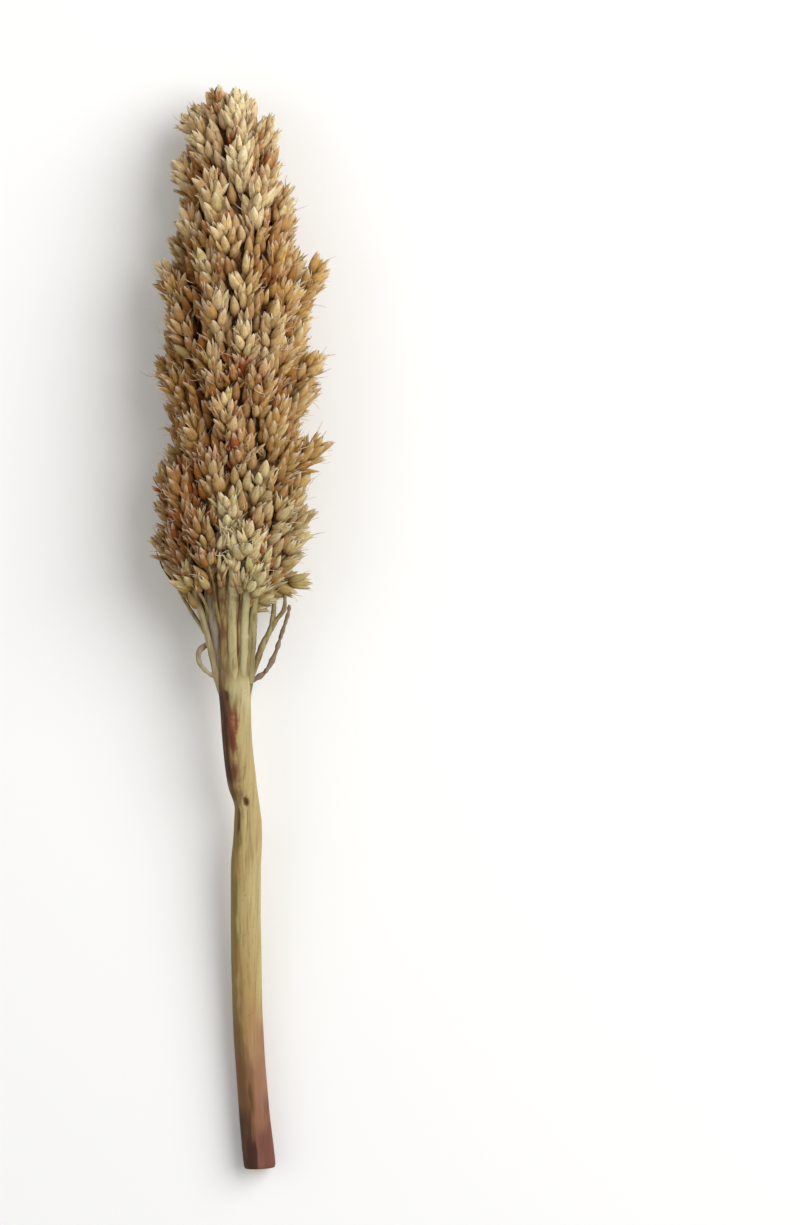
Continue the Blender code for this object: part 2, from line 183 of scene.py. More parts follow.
# Broad flat stems on top of the collar: their routes as above, then half their widths in
# millimetres, and their shares of green, brown, grey and bleached
BROAD_STEMS = (
    (((-5, -15, 1.4), (-6, -4, 3), (-7.4, 5, 4.4), (-8.6, 13.5, 6.6)),
     (1.0, 1.6, 1.6, 1.1), (0.1, 0.25, 0.72, 0.5)),
    (((-3.4, -19, 2.6), (-4.1, -6, 4.3), (-4.4, 4, 5.6), (-5, 16.5, 12.4), (-5.6, 26, 15.5)),
     (0.9, 1.5, 1.5, 1.1, 0.8), (0.9, 0.62, 0.0, 0.0)),
    (((-1.4, -20, 3.6), (-1.7, -6, 4.9), (-1.7, 4.5, 6.4), (-1.4, 16.5, 13.4), (-1, 28, 16.6)),
     (0.9, 1.6, 1.5, 1.3, 0.8), (0.35, 0.12, 0.0, 0.75)),
    (((0.8, -19, 2), (1.2, -6, 4.5), (1.5, 3.5, 5.8), (3, 15, 12.4), (4.2, 24, 15)),
     (0.8, 1.35, 1.3, 1.0, 0.7), (0.3, 0.0, 0.0, 1.0)),
    (((-0.4, -15, 3.6), (-0.1, -6, 5.6), (0, 3, 6.8), (1.2, 13, 11)),
     (0.2, 0.42, 0.4, 0.3), (1.0, 0.65, 0.0, 0.0)),
    (((2.8, -16, 1.4), (3.6, -6, 2.8), (4, 3, 4), (5, 12, 6.6)),
     (0.9, 1.0, 1.0, 0.7), (1.0, 0.2, 0.15, 0.1)),
    (((-5.8, -12, 2), (-6.2, 1, 4), (-6.8, 11, 8), (-7.8, 21, 11.8)),
     (0.6, 0.9, 0.9, 0.6), (0.7, 0.25, 0.1, 0.3)),
    (((-2.4, -15, 2.6), (-2.9, 0, 4.6), (-3, 11, 8.8), (-3.1, 26, 14.6)),
     (0.6, 0.9, 1.0, 0.7), (0.9, 0.3, 0.0, 0.3)),
    (((0.2, -15, 2.6), (0.4, 0, 4.6), (1.1, 11, 9), (1.8, 26, 14.8)),
     (0.6, 0.9, 1.0, 0.7), (0.8, 0.25, 0.0, 0.4)),
    (((2.6, -13, 2), (3.4, 1, 4), (5, 11, 8), (6.4, 20, 11.6)),
     (0.6, 0.9, 0.9, 0.6), (0.9, 0.2, 0.0, 0.3)),
)

# Routes of the dark bent awns at the head's lower left, as above
AWNS = (
    ((-18, 17, 2), (-21.4, 21.2, 3), (-24.6, 25.2, 3.6)),
    ((-18.2, 12, 0), (-21.2, 16, 1), (-23.4, 21.4, 2)),
)

# Half the width in millimetres at each point of these routes
CURLED_WIDTHS = (0.60, 0.62, 0.65, 0.95, 1.10, 0.95, 0.80)
FORKED_WIDTHS = (0.90, 0.75, 0.95, 0.75, 0.70, 0.50)
FORK_WIDTHS = (0.75, 0.70, 0.60, 0.45)
PLAIN_WIDTHS = (0.75, 0.75, 0.62, 0.60, 0.60, 0.45)
LEFT_WIDTHS = (0.80, 0.75, 0.70, 0.60, 0.50, 0.40)
AWN_WIDTHS = (0.30, 0.24, 0.10)

# Shares of green, brown, grey and bleached of the twigs and awns
CURLED_TONE = (0.2, 0.15, 0.45, 0.7)
FORKED_TONE = (0.95, 0.35, 0.15, 0.2)
PLAIN_TONE = (0.3, 0.35, 0.8, 0.2)
AWN_TONE = (0.3, 0.85, 0.2, 0.0)

# The head's dark core
CORE_STARTS_Y = 0.0120
CORE_DOME = 0.006  # the length over which it widens from nothing
CORE_SIDES = 48
CORE_RINGS = 91

# Spikelets: two boat-shaped husks round a grain
HUSK_PIECES = ("husks_base", "husks_middle", "husks_top")
SPIKELET_LENGTH = 0.0062
SPIKELET_WIDTH = 0.42  # of its length
HUSK_STEPS = (0.0, 0.07, 0.19, 0.35, 0.53, 0.71, 0.87, 1.0)
HUSK_COLUMNS = 6
STERILE_LENGTH = 0.0050
STERILE_WIDTH = 0.20  # of its length
STERILE_SHARE = 0.75  # of the spikelets have a narrow empty one beside them
CHAFF_PER_SPOT = 12  # times its rust
LOOSE_SCALES = 260
STERILE_STEPS = (0.0, 0.22, 0.48, 0.76, 1.0)
STERILE_COLUMNS = 3
WHORL_GAP = 0.00215
WHORL_COUNT = 4  # spikelets in a whorl
TIP_COUNT = 3  # and in the one at an ear's tip
BARE_STEM_SHARE = 0.16  # of an ear's length, below its lowest spikelets
INNER_SPIKELETS = 840
STEM_SPIKELETS = 4  # on each broad stem, between these two y
STEM_SPIKELETS_Y = (0.0085, 0.0240)
PRESSED_HEIGHT = 0.0016  # below this, husks bend along the surface
BRISTLE_SHARE = (  # of the spikelets that have one, as (y, share)
    (0.010, 0.50), (0.030, 0.70), (0.075, 0.75), (0.100, 0.22), (TIP_Y, 0.15),
)
BRISTLE_LENGTHS = (0.0022, 0.0052)
BRISTLE_BEND = 0.0020
BRISTLE_RADII = (0.00013, 0.00004)  # at its foot and its end
EAR_STEM_RADII = (0.00062, 0.00032)  # the same of an ear's stem

# Husk colours, as linear RGB
CREAM = (0.88, 0.770, 0.475)
GOLD = (0.68, 0.43, 0.130)
BROWN = (0.30, 0.150, 0.040)
ROSY = (0.58, 0.34, 0.16)
OCHRE = (0.56, 0.325, 0.095)
RUST = (0.34, 0.085, 0.026)
# Brown at the husks' roots, partly real colour and partly painted shade where husks overlap; also fine
# specks
HUSK_ROOT_AND_SHADE = (0.26, 0.105, 0.018)
HUSK_TIP = (0.94, 0.87, 0.69)
MOSS = (0.48, 0.47, 0.22)
# Painted shade: dark reddish brown laid over the husks in the crevices, deep in the head
PAINTED_CREVICE_SHADE = (0.245, 0.074, 0.006)
# The head's middle: very dark as painted shade deep in the head, mixed with brown
CORE_SHADE_DARK = (0.085, 0.030, 0.010)
CORE_BROWN = (0.23, 0.115, 0.048)

# Stalk colours
STRAW = (0.47, 0.37, 0.17)
STRAW_GOLD = (0.40, 0.27, 0.095)
LEAF_GREEN = (0.29, 0.28, 0.11)
UMBER = (0.17, 0.088, 0.034)
RED_STAIN = (0.20, 0.058, 0.032)
DARK_STAIN = (0.064, 0.029, 0.015)
TAN_ROSE = (0.295, 0.145, 0.080)
# Darker copies of the cut end's tan and wine for the stalk's left side, partly painted shade
RUSSET_IN_SHADE = (0.150, 0.072, 0.028)
MAROON_IN_SHADE = (0.068, 0.027, 0.018)
WINE = (0.160, 0.060, 0.042)
MAUVE = (0.31, 0.130, 0.096)
# Lavender grey of some stems, and painted shade in the gaps between the branches above the collar
LAVENDER_GREY_AND_SHADE = (0.25, 0.20, 0.20)
# Olive straw on the left side, under the branches and on twig sides: partly real colour, partly painted
# shade
OLIVE_SHADE_STRAW = (0.205, 0.140, 0.040)
# Bleached straw, also used as painted light on the stalk's right side and collar
PALE_STRAW = (0.49, 0.43, 0.23)
PITH = (0.60, 0.46, 0.28)
BRISTLE = (0.74, 0.63, 0.42)
RED_BRISTLE = (0.42, 0.19, 0.085)

# How pale the husks are along the head, as (y, share)
PALE_ALONG = ((0.000, 0.64), (0.020, 0.62), (0.050, 0.54), (0.085, 0.54), (0.115, 0.78), (TIP_Y, 1.0))

# Painted light and shade: paler upper side across its width, as (share of the radius, change)
PAINTED_LIGHT_AND_SHADE_ACROSS = (
    (-1.0, -0.42), (-0.6, -0.60), (-0.3, -0.16), (0.0, 0.72), (0.3, 0.40), (0.6, 0.00), (1.0, -0.14),
)

# Places on the head's upper side that differ in colour, as (x, y, reach) in millimetres, and what
# they add to the shares of pale, warm, rust and moss
TINT_SPOTS = (
    ((8, 125, 17), (0.22, -0.55, 0, 0)),
    ((-3, 146, 10), (0.25, -0.3, 0, 0)),
    ((19, 42, 11), (-0.8, -0.1, 0, 0.1)),
    ((3, 23, 13), (0.35, -0.35, 0, 0.15)),
    ((17, 8, 10.5), (-0.62, -0.2, 0, 0.3)),
    ((-7, 144, 3), (-0.25, 0.2, 0.55, 0)),
    ((-1.2, 134.5, 2.5), (-0.15, 0.1, 0.45, 0)),
    ((7, 131, 3), (-0.2, 0.4, 0.85, 0)),
    ((5.3, 124.5, 3.5), (-0.35, 0.3, 0.75, 0)),
    ((-7, 123, 4), (-0.35, 0.2, 0.55, 0)),
    ((9.8, 111.2, 4.5), (-0.1, 0.45, 0.95, 0)),
    ((8.8, 100, 11), (-0.12, 0.45, 0.22, 0)),
    ((7.2, 96.6, 3.5), (-0.2, 0.2, 0.7, 0)),
    ((-18, 93, 8.5), (-0.3, 0.15, 0.15, 0)),
    ((-14, 105, 5), (0.25, -0.5, 0, 0.25)),
    ((2, 70.6, 5.5), (0.2, 0.45, 1.5, 0)),
    ((-3, 69.8, 4), (0.1, 0.3, 1.1, 0)),
    ((-9.6, 61.6, 4), (-0.45, 0.1, 0.55, 0)),
    ((10.6, 63.8, 5), (-0.1, 0.4, 0.9, 0)),
    ((-2.3, 50.6, 5.5), (0.15, 0.45, 1.5, 0)),
    ((5, 47.2, 2.5), (0, 0.3, 0.6, 0)),
    ((18, 44.8, 3.5), (0, 0.3, 0.8, 0)),
    ((-12.8, 41.2, 6), (-0.8, 0.1, 0.9, 0)),
    ((-18.5, 35, 6), (-0.7, 0.15, 0.8, 0)),
    ((-16, 24.6, 6.5), (-0.6, 0.2, 0.75, 0)),
    ((-15, 32, 10), (-0.3, 0.1, 0.15, 0)),
    ((-8.5, 18.7, 3), (-0.35, 0.2, 0.8, 0)),
    ((8.2, 17.8, 2.2), (-0.2, 0, 0.8, 0)),
    ((2.6, 31, 3), (0, 0.4, 0.5, 0)),
    ((7.4, 27.4, 2.8), (0, 0.4, 0.5, 0)),
    ((19, 74, 6), (-0.1, 0.6, 0.15, 0)),
    ((15.5, 64, 3.5), (0, -0.3, 0, 0.35)),
    ((0, 37, 5.5), (0.1, -0.4, 0, 0.5)),
    ((9, 39.5, 3), (0, -0.4, 0, 0.5)),
    ((19.8, 31, 6), (0.3, -0.6, 0, 0.3)),
    ((10, 21, 5), (0.35, -0.5, 0, 0.15)),
    ((3, 15, 6), (0.15, -0.5, 0, 0.35)),
    ((-9, 26, 4), (0, -0.3, 0, 0.45)),
    ((-17, 48, 5), (0.2, -0.5, 0, 0.35)),
    ((20.5, 14, 4.5), (-0.75, -0.2, 0, 0.35)),
)
TINT_FLOOR = 0.012  # these places lie above this height


def along(stations, y):
    """The value at y on a smooth curve through the (y, value) stations."""
    last = len(stations) - 1
    y = min(max(y, stations[0][0]), stations[last][0])
    i = max(k for k in range(last) if stations[k][0] <= y)

    def slope(k):
        below, above = stations[max(k - 1, 0)], stations[min(k + 1, last)]
        return (above[1] - below[1]) / (above[0] - below[0])

    (y0, v0), (y1, v1) = stations[i], stations[i + 1]
    span = y1 - y0
    t = (y - y0) / span
    from_ends = v0 + (v1 - v0) * t * t * (3 - 2 * t)
    from_slopes = span * t * (1 - t) * (slope(i) * (1 - t) - slope(i + 1) * t)
    return from_ends + from_slopes


def axis_point(y):
    return Vector((along(AXIS_X, y), y, along(AXIS_Z, y)))


def axis_frame(y):
    """(tangent, sideways, upwards) of the centre line at y."""
    step = 0.001
    tangent = (axis_point(y + step) - axis_point(y - step)).normalized()
    sideways = tangent.cross(Vector((0, 0, 1))).normalized()
    return tangent, sideways, sideways.cross(tangent)


def outward_at(y, azimuth):
    """Direction away from the centre line at y, azimuth being 0 to the right and 90 degrees up."""
    _, sideways, upwards = axis_frame(y)
    return sideways * math.cos(azimuth) + upwards * math.sin(azimuth) * FLATTENED


def surface_point(y, azimuth, radius):
    return axis_point(y) + outward_at(y, azimuth) * radius


def ear_at(y, azimuth, radius, lean, length):
    """(root, tip, outward) of an ear whose tip is that far from the centre line at y."""
    tangent = axis_frame(y)[0]
    outward = outward_at(y, azimuth).normalized()
    tip = surface_point(y, azimuth, radius)
    root = tip - (tangent * math.cos(lean) + outward * math.sin(lean)) * length
    root.y = max(root.y, CORE_RADIUS[0][0] + 0.002)
    middle = axis_point(root.y)
    off = root - middle
    deepest = along(CORE_RADIUS, root.y) * ROOT_DEPTH
    if off.length > deepest:
        root = middle + off * (deepest / off.length)
    return root, tip, outward


def hollow_at(y, azimuth):
    """The share by which the head's outline sinks in there, between its sprays."""
    deepest = 0.0
    for hollow_y, degrees, half_length, share in HOLLOWS:
        turn = math.remainder(azimuth - math.radians(degrees), math.tau) / HOLLOW_SPREAD
        off = (y - hollow_y) / half_length
        deepest = max(deepest, share * math.exp(-turn * turn - off * off))
    return deepest


def ear_layout():
    """Root, tip and outward direction of every ear, the same as in the solids."""
    rng = random.Random(SEED)
    steps = 400
    ys = [FIRST_EAR_Y + (TIP_Y - FIRST_EAR_Y) * k / steps for k in range(steps + 1)]
    areas = [0.0]
    for low, high in zip(ys, ys[1:]):
        taper = along(HEAD_RADIUS, high) - along(HEAD_RADIUS, low)
        areas.append(areas[-1] + along(HEAD_RADIUS, high) * math.hypot(high - low, taper))
    found = []
    for i in range(EARS):
        wanted = areas[-1] * (i + 0.5) / EARS
        y = ys[next(k for k, area in enumerate(areas) if area >= wanted)] + rng.uniform(-0.0015, 0.0015)
        azimuth = i * GOLDEN_ANGLE + rng.uniform(-0.12, 0.12)
        radius = along(HEAD_RADIUS, y) * rng.uniform(0.90, 1.04) * (1 - hollow_at(y, azimuth))
        lean = math.radians(along(EAR_LEAN, y) + rng.uniform(-6, 6))
        found.append(ear_at(y, azimuth, radius, lean, EAR_LENGTH * rng.uniform(0.88, 1.12)))
    for y, degrees, reach, lean, length in LOOSE_EARS:
        found.append(ear_at(y, math.radians(degrees), reach, math.radians(lean), length))
    return found


def clamped(value):
    return min(max(value, 0.0), 1.0)


def bell(off):
    """1 in the middle, and falling to 0 on both sides of it."""
    return math.exp(-off * off)


def pressed(points):
    """The points with what would sink into the surface bent up along it."""
    points = np.array([tuple(p) for p in points])
    low = points[..., 2] < PRESSED_HEIGHT
    squeezed = PRESSED_HEIGHT * np.exp((points[..., 2] - PRESSED_HEIGHT) / PRESSED_HEIGHT)
    points[..., 2] = np.where(low, squeezed, points[..., 2])
    return points


def blotches(place, size, turn=0.0):
    """Smooth noise from 0 to 1 over space, with blotches of about that size."""
    where = Vector(place) / size + Vector((turn, 7.3 * turn, -3.1 * turn))
    return clamped(0.5 + 0.75 * noise.noise(where))


def placed(name, data):
    """A new object in the scene."""
    thing = bpy.data.objects.new(name, data)
    bpy.context.scene.collection.objects.link(thing)
    return thing


def mesh_piece(name, points, faces, material, masks=None, uv=None):
    """One smooth-shaded piece that rides with the plant. Masks are colour attributes by name."""
    mesh = bpy.data.meshes.new(name)
    mesh.from_pydata(points, [], faces)
    mesh.shade_smooth()
    for label, values in (masks or {}).items():
        layer = mesh.color_attributes.new(label, "FLOAT_COLOR", "POINT")
        layer.data.foreach_set("color", np.ascontiguousarray(values, np.float32).ravel())
    if uv is not None:
        corners = np.empty(len(mesh.loops), np.int64)
        mesh.loops.foreach_get("vertex_index", corners)
        layer = mesh.uv_layers.new(name="grain")
        layer.data.foreach_set("uv", uv[corners].astype(np.float32).ravel())
    mesh.materials.append(material)
    piece = placed(name, mesh)
    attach(piece, "root")
    return piece


def head_piece(name, points, faces, material, masks=None, uv=None):
    piece = mesh_piece(name, pressed(points), faces, material, masks, uv)
    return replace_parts(piece, "seed_head")


def stalk_piece(name, points, faces, material, masks):
    piece = mesh_piece(name, points, faces, material, masks)
    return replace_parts(piece, "stalk")


def closed_rings(rings, sides):
    """Faces of a closed tube of that many rings, with that many points in each."""
    faces = []
    for low in range(0, (rings - 1) * sides, sides):
        for k in range(sides):
            n = (k + 1) % sides
            faces.append((low + k, low + n, low + sides + n, low + sides + k))
    faces.append(tuple(range(sides))[::-1])
    faces.append(tuple((rings - 1) * sides + k for k in range(sides)))
    return faces


class Nodes:
    """A short way to write a material's node tree."""

    def __init__(self, name):
        self.material = bpy.data.materials.new(name)
        self.material.use_nodes = True
        self.tree = self.material.node_tree
        self.shader = self.tree.nodes["Principled BSDF"]

    def add(self, kind, settings=None, **inputs):
        node = self.tree.nodes.new(kind)
        for label, value in (settings or {}).items():
            setattr(node, label, value)
        for label, value in inputs.items():
            self.feed(node.inputs[label.replace("_", " ")], value)
        return node

    def feed(self, socket, value):
        if isinstance(value, bpy.types.NodeSocket):
            self.tree.links.new(value, socket)
        elif isinstance(value, tuple) and len(value) == 3 and socket.type == "RGBA":
            socket.default_value = (*value, 1.0)
        else:
            socket.default_value = value

    def mix(self, factor, first, second, blend="MIX"):
        node = self.tree.nodes.new("ShaderNodeMix")
        node.data_type = "RGBA"
        node.blend_type = blend
        self.feed(node.inputs[0], factor)
        self.feed(node.inputs[6], first)
        self.feed(node.inputs[7], second)
        return node.outputs[2]

    def layers(self, colour, *layers):
        """The colour with each (share, colour) laid over it in turn."""
        for share, layer in layers:
            colour = self.mix(share, colour, layer)
        return colour

    def masks(self, label):
        """Red, green, blue and alpha of a colour attribute."""
        source = self.add("ShaderNodeAttribute", {"attribute_name": label})
        parts = self.add("ShaderNodeSeparateColor", Color=source.outputs["Color"])
        return (*parts.outputs, source.outputs["Alpha"])

    def noise(self, scale, vector=None, detail=3.0, roughness=0.55):
        node = self.add("ShaderNodeTexNoise", Scale=scale, Detail=detail, Roughness=roughness)
        if vector is None:
            vector = self.add("ShaderNodeTexCoord").outputs["Object"]
        self.feed(node.inputs["Vector"], vector)
        return node.outputs["Fac"]

    def stretched(self, source, scale):
        mapping = self.add("ShaderNodeMapping", Vector=source)
        mapping.inputs["Scale"].default_value = scale
        return mapping.outputs["Vector"]

    def spread(self, value, low, high, out_low=0.0, out_high=1.0):
        """Maps low..high to out_low..out_high, and stays within them."""
        node = self.add("ShaderNodeMapRange", Value=value)
        ends = {"From Min": low, "From Max": high, "To Min": out_low, "To Max": out_high}
        for label, number in ends.items():
            node.inputs[label].default_value = number
        return node.outputs["Result"]

    def ragged(self, mask, texture, low, high, gain=0.8):
        """A mask whose edge, from low to high, is broken up by the texture."""
        node = self.add("ShaderNodeMath", {"operation": "MULTIPLY_ADD"})
        for socket, value in zip(node.inputs, (texture, gain, mask)):
            self.feed(socket, value)
        return self.spread(node.outputs[0], low, high)

    def bump(self, height, strength, distance):
        node = self.add("ShaderNodeBump", Strength=strength, Distance=distance, Height=height)
        self.feed(self.shader.inputs["Normal"], node.outputs["Normal"])

    def paint(self, colour, roughness):
        self.feed(self.shader.inputs["Base Color"], colour)
        self.feed(self.shader.inputs["Roughness"], roughness)
        return self.material


def husk_material():
    """Dry husk: cream to brown, gold or rosy, with rust, moss and dark roots that are partly painted shade,
    and fine veins, with painted shade in the crevices.
    """
    n = Nodes("husk")
    pale, warm, rust, shade = n.masks("tint")
    reach, side, moss, _ = n.masks("place")
    mottle = n.noise(650.0)
    fine = n.noise(2600.0, detail=2.0)
    colour = n.layers(
        n.mix(pale, BROWN, CREAM),
        (n.spread(warm, 0.0, 1.0, 0.0, 0.85), GOLD),
        (n.spread(side, 0.55, 1.0, 0.0, 0.35), ROSY),
        (moss, MOSS),
        (n.spread(mottle, 0.50, 0.68, 0.0, 0.6), OCHRE),
        (n.ragged(rust, fine, 0.50, 1.35), RUST),
        # Dark roots: partly brown, partly painted shade where the husks overlap
        (n.spread(reach, 0.0, 0.42, 0.70, 0.0), HUSK_ROOT_AND_SHADE),
        (n.spread(reach, 0.66, 1.0, 0.0, 0.55), HUSK_TIP),
    )
    grain = n.add("ShaderNodeUVMap", {"uv_map": "grain"}).outputs["UV"]
    veins = n.noise(1.0, n.stretched(grain, (26.0, 2.2, 1.0)), 2.0)
    colour = n.mix(n.spread(veins, 0.47, 0.66, 0.0, 0.7), colour, OCHRE, "MULTIPLY")
    colour = n.mix(n.spread(fine, 0.62, 0.72, 0.0, 0.5), colour, HUSK_ROOT_AND_SHADE)
    # Painted shade: darker in the crevices, deep in the head and low in each ear
    colour = n.mix(n.ragged(shade, mottle, 0.15, 1.05, 0.35), PAINTED_CREVICE_SHADE, colour)
    n.bump(veins, 0.45, 0.0003)
    n.shader.inputs["Specular IOR Level"].default_value = 0.06
    return n.paint(colour, n.spread(mottle, 0.3, 0.7, 0.58, 0.80))


def husk_template(gap, skew, width=SPIKELET_WIDTH, steps=HUSK_STEPS, columns=HUSK_COLUMNS):
    """A spikelet of length 1 along Z, its outer husk towards +X, as points, faces and masks.

    Gap is how far the husks' beaks stand apart, and skew bends both beaks to one side.
    """
    points, faces, reach, side, uv = [], [], [], [], []
    row = columns + 1
    for sign, wrap, size in ((1, 100, 1.0), (-1, 108, 0.93)):
        start = len(points)
        for u in steps:
            plump = (u + 0.02) ** 0.5 * (1.0 - u) ** 0.92 / 0.41
            radius = width / 2 * size * plump + 0.010
            for j in range(row):
                v = 2 * j / columns - 1
                a = math.radians(wrap) * v
                keel = 1 + 0.12 * bell(v / 0.3)
                keel -= 0.06 * bell((abs(v) - 0.5) / 0.2)
                x = sign * (math.cos(a) * radius * keel + gap * u**3)
                points.append((x, math.sin(a) * radius + skew * u**2, u * (1.0 if sign > 0 else 0.94)))
                reach.append(u)
                side.append(abs(v))
                uv.append((v / 2 + sign, u))
        for i in range(len(steps) - 1):
            for j in range(columns):
                low = start + i * row + j
                quad = (low, low + 1, low + row + 1, low + row)
                faces.append(quad if sign > 0 else quad[::-1])
    return np.array(points), np.array(faces), np.array(reach), np.array(side), np.array(uv)


def sterile_template(gap, skew):
    return husk_template(gap, skew, STERILE_WIDTH, STERILE_STEPS, STERILE_COLUMNS)


PLUMP = [
    husk_template(0.02, 0.0), husk_template(0.08, 0.05), husk_template(0.13, -0.05),
    husk_template(0.05, -0.09), husk_template(0.10, 0.09),
]
STERILE = [sterile_template(0.05, 0.06), sterile_template(0.12, -0.10), sterile_template(0.03, 0.15)]


class Spikelet:
    """Where one spikelet stands and how it is tinted."""

    def __init__(self, root, heading, outward, length, width, tint, moss, template):
        self.root = root
        z = heading.normalized()
        x = (outward - z * outward.dot(z)).normalized()
        y = z.cross(x)
        self.turn = np.array((x * width, y * width, z)).T * length
        self.tint = tint
        self.moss = moss
        self.template = template


def local_tint(place):
    """What the head's upper side adds to (pale, warm, rust, moss) at a place."""
    total = np.zeros(4)
    if place.z > TINT_FLOOR:
        for (x, y, reach), change in TINT_SPOTS:
            off = math.hypot(place.x / MILLIMETRE - x, place.y / MILLIMETRE - y) / reach
            total += np.array(change) * bell(off)
    return total


def tint_at(place, rng, depth):
    """(pale, warm, rust, shade) and the share of moss of a spikelet. Depth is 0 in the crevices, and the
    shade is painted shade taken from it.
    """
    more_pale, more_warm, more_rust, more_moss = local_tint(place)
    pale = along(PALE_ALONG, place.y) + 0.45 * (blotches(place, 0.010, 1.0) - 0.5)
    pale += rng.uniform(-0.28, 0.30)
    across = (place.x - along(AXIS_X, place.y)) / along(HEAD_RADIUS, place.y)
    # Painted shade: browner deeper in the head
    pale += more_pale - 0.30 * (1 - depth)
    raised = clamped((place.z - 0.010) / 0.008)
    # Painted light and shade across the upper side: paler along the lit middle, darker on the left
    pale += along(PAINTED_LIGHT_AND_SHADE_ACROSS, across) * raised
    # Painted shade: less golden on the shaded left
    more_warm -= 0.35 * clamped(-1.4 * across) * raised
    warm = 0.10 + 0.6 * blotches(place, 0.011, 2.0) + 9.0 * place.x
    warm += rng.uniform(-0.2, 0.2) + more_warm
    rusty = more_rust * rng.uniform(0.1, 1.0)
    if rng.random() < 0.08:
        rusty = max(rusty, rng.uniform(0.1, 0.5))
    moss = 0.45 * math.exp(-max(place.y - 0.01, 0.0) / 0.03) * rng.uniform(0.3, 1.2)
    moss += more_moss * rng.uniform(0.3, 1.2) + (0.45 if rng.random() < 0.04 else 0.0)
    return [clamped(pale), clamped(warm), clamped(rusty), 0.30 + 0.70 * depth], clamped(moss)


def spikelets_of_ear(place, rng):
    """The spikelets of one ear, in staggered whorls from its root to its tip."""
    root, tip, outward = place
    length = (tip - root).length
    direction = (tip - root) / length
    facing = (outward - direction * outward.dot(direction)).normalized()
    side = direction.cross(facing)
    brightness = rng.uniform(-0.15, 0.15)
    warmth = rng.uniform(-0.18, 0.18)
    slender = rng.uniform(0.86, 1.14)
    found = []
    highest = length - SPIKELET_LENGTH * 0.97
    covered = highest - BARE_STEM_SHARE * length
    rows = max(int(covered / WHORL_GAP), 2)
    for row in range(rows + 1):
        at = highest - row * covered / rows
        share = at / highest
        count = WHORL_COUNT if row else TIP_COUNT
        spread = 9 if row == 0 else 17 + 9 * min(row, 2) / 2
        for k in range(count):
            angle = math.tau * (k + 0.5 * (row % 2)) / count + rng.uniform(-0.45, 0.45)
            away = facing * math.cos(angle) + side * math.sin(angle)
            if away.dot(facing) < -0.75:
                continue
            lean = math.radians(spread + rng.uniform(-7, 9))
            heading = direction * math.cos(lean) + away * math.sin(lean)
            start = root + direction * (at + rng.uniform(-0.0008, 0.0006))
            start += away * (0.0011 if row else 0.0005)
            if bare_at(start):
                continue
            size = SPIKELET_LENGTH * rng.uniform(0.80, 1.14) * (0.95 if row == 0 else 1.0)
            # Painted shade: spikelets low in the ear and those turned away from its outside are darker
            depth = clamped(0.35 + 0.65 * share * share + 0.25 * away.dot(facing))
            tint, moss = tint_at(start + heading * (0.6 * size), rng, depth)
            tint[0] = clamped(tint[0] + brightness)
            tint[1] = clamped(tint[1] + warmth)
            width = slender * rng.uniform(0.82, 1.12)
            twist = away + direction.cross(away) * rng.uniform(-0.6, 0.6)
            found.append(Spikelet(start, heading, twist, size, width, tint, moss, rng.choice(PLUMP)))
            if rng.random() < STERILE_SHARE:
                found.append(sterile_beside(found[-1], heading, away, direction, rng))
    return found


def bare_at(place):
    """Whether the stems show there, at the head's base, with no husks over them."""
    middle = axis_point(place.y)
    degrees = math.degrees(math.atan2(place.z - middle.z, place.x - middle.x))
    return any(
        abs(turn_between(degrees, centre)) < half and place.y < y for centre, half, y in BARE_PLACES
    )


def loose_scale(y, azimuth, rng, tint, moss, length):
    """A thin scale between the ears, a little below the head's outline."""
    radius = along(HEAD_RADIUS, y) * (1 - hollow_at(y, azimuth))
    start = surface_point(y, azimuth, radius * rng.uniform(0.62, 0.84))
    outward = outward_at(y, azimuth).normalized()
    across = axis_frame(y)[0].cross(outward)
    heading = axis_frame(y)[0] + across * rng.uniform(-0.8, 0.8) + outward * rng.uniform(0.1, 0.9)
    width = rng.uniform(1.2, 1.9)
    return Spikelet(start, heading, outward, length, width, tint, moss, rng.choice(STERILE))


def chaff():
    """Loose scales between the ears: rusty ones in the rusty places, and others all round."""
    rng = random.Random(SEED + 6)
    found = []
    for (x, y, reach), (_, _, rust, _) in TINT_SPOTS:
        for _ in range(int(CHAFF_PER_SPOT * rust)):
            scale_y = (y + rng.gauss(0, 0.6) * reach) * MILLIMETRE
            off = (x + rng.gauss(0, 0.6) * reach) * MILLIMETRE - along(AXIS_X, scale_y)
            azimuth = math.acos(max(min(off / along(HEAD_RADIUS, scale_y), 0.97), -0.97))
            tint = [rng.uniform(0.1, 0.7), rng.uniform(0.3, 1.0), rng.uniform(0.2, 0.9), 1.0]
            length = STERILE_LENGTH * rng.uniform(0.45, 0.85)
            found.append(loose_scale(scale_y, azimuth, rng, tint, 0.0, length))
    for _ in range(LOOSE_SCALES):
        y = rng.uniform(0.014, 0.138)
        azimuth = rng.uniform(0, math.tau)
        place = surface_point(y, azimuth, along(HEAD_RADIUS, y))
        # A random depth gives these scales some painted shade
        tint, moss = tint_at(place, rng, rng.uniform(0.3, 1.0))
        length = STERILE_LENGTH * rng.uniform(0.6, 1.15)
        found.append(loose_scale(y, azimuth, rng, tint, moss, length))
    return found


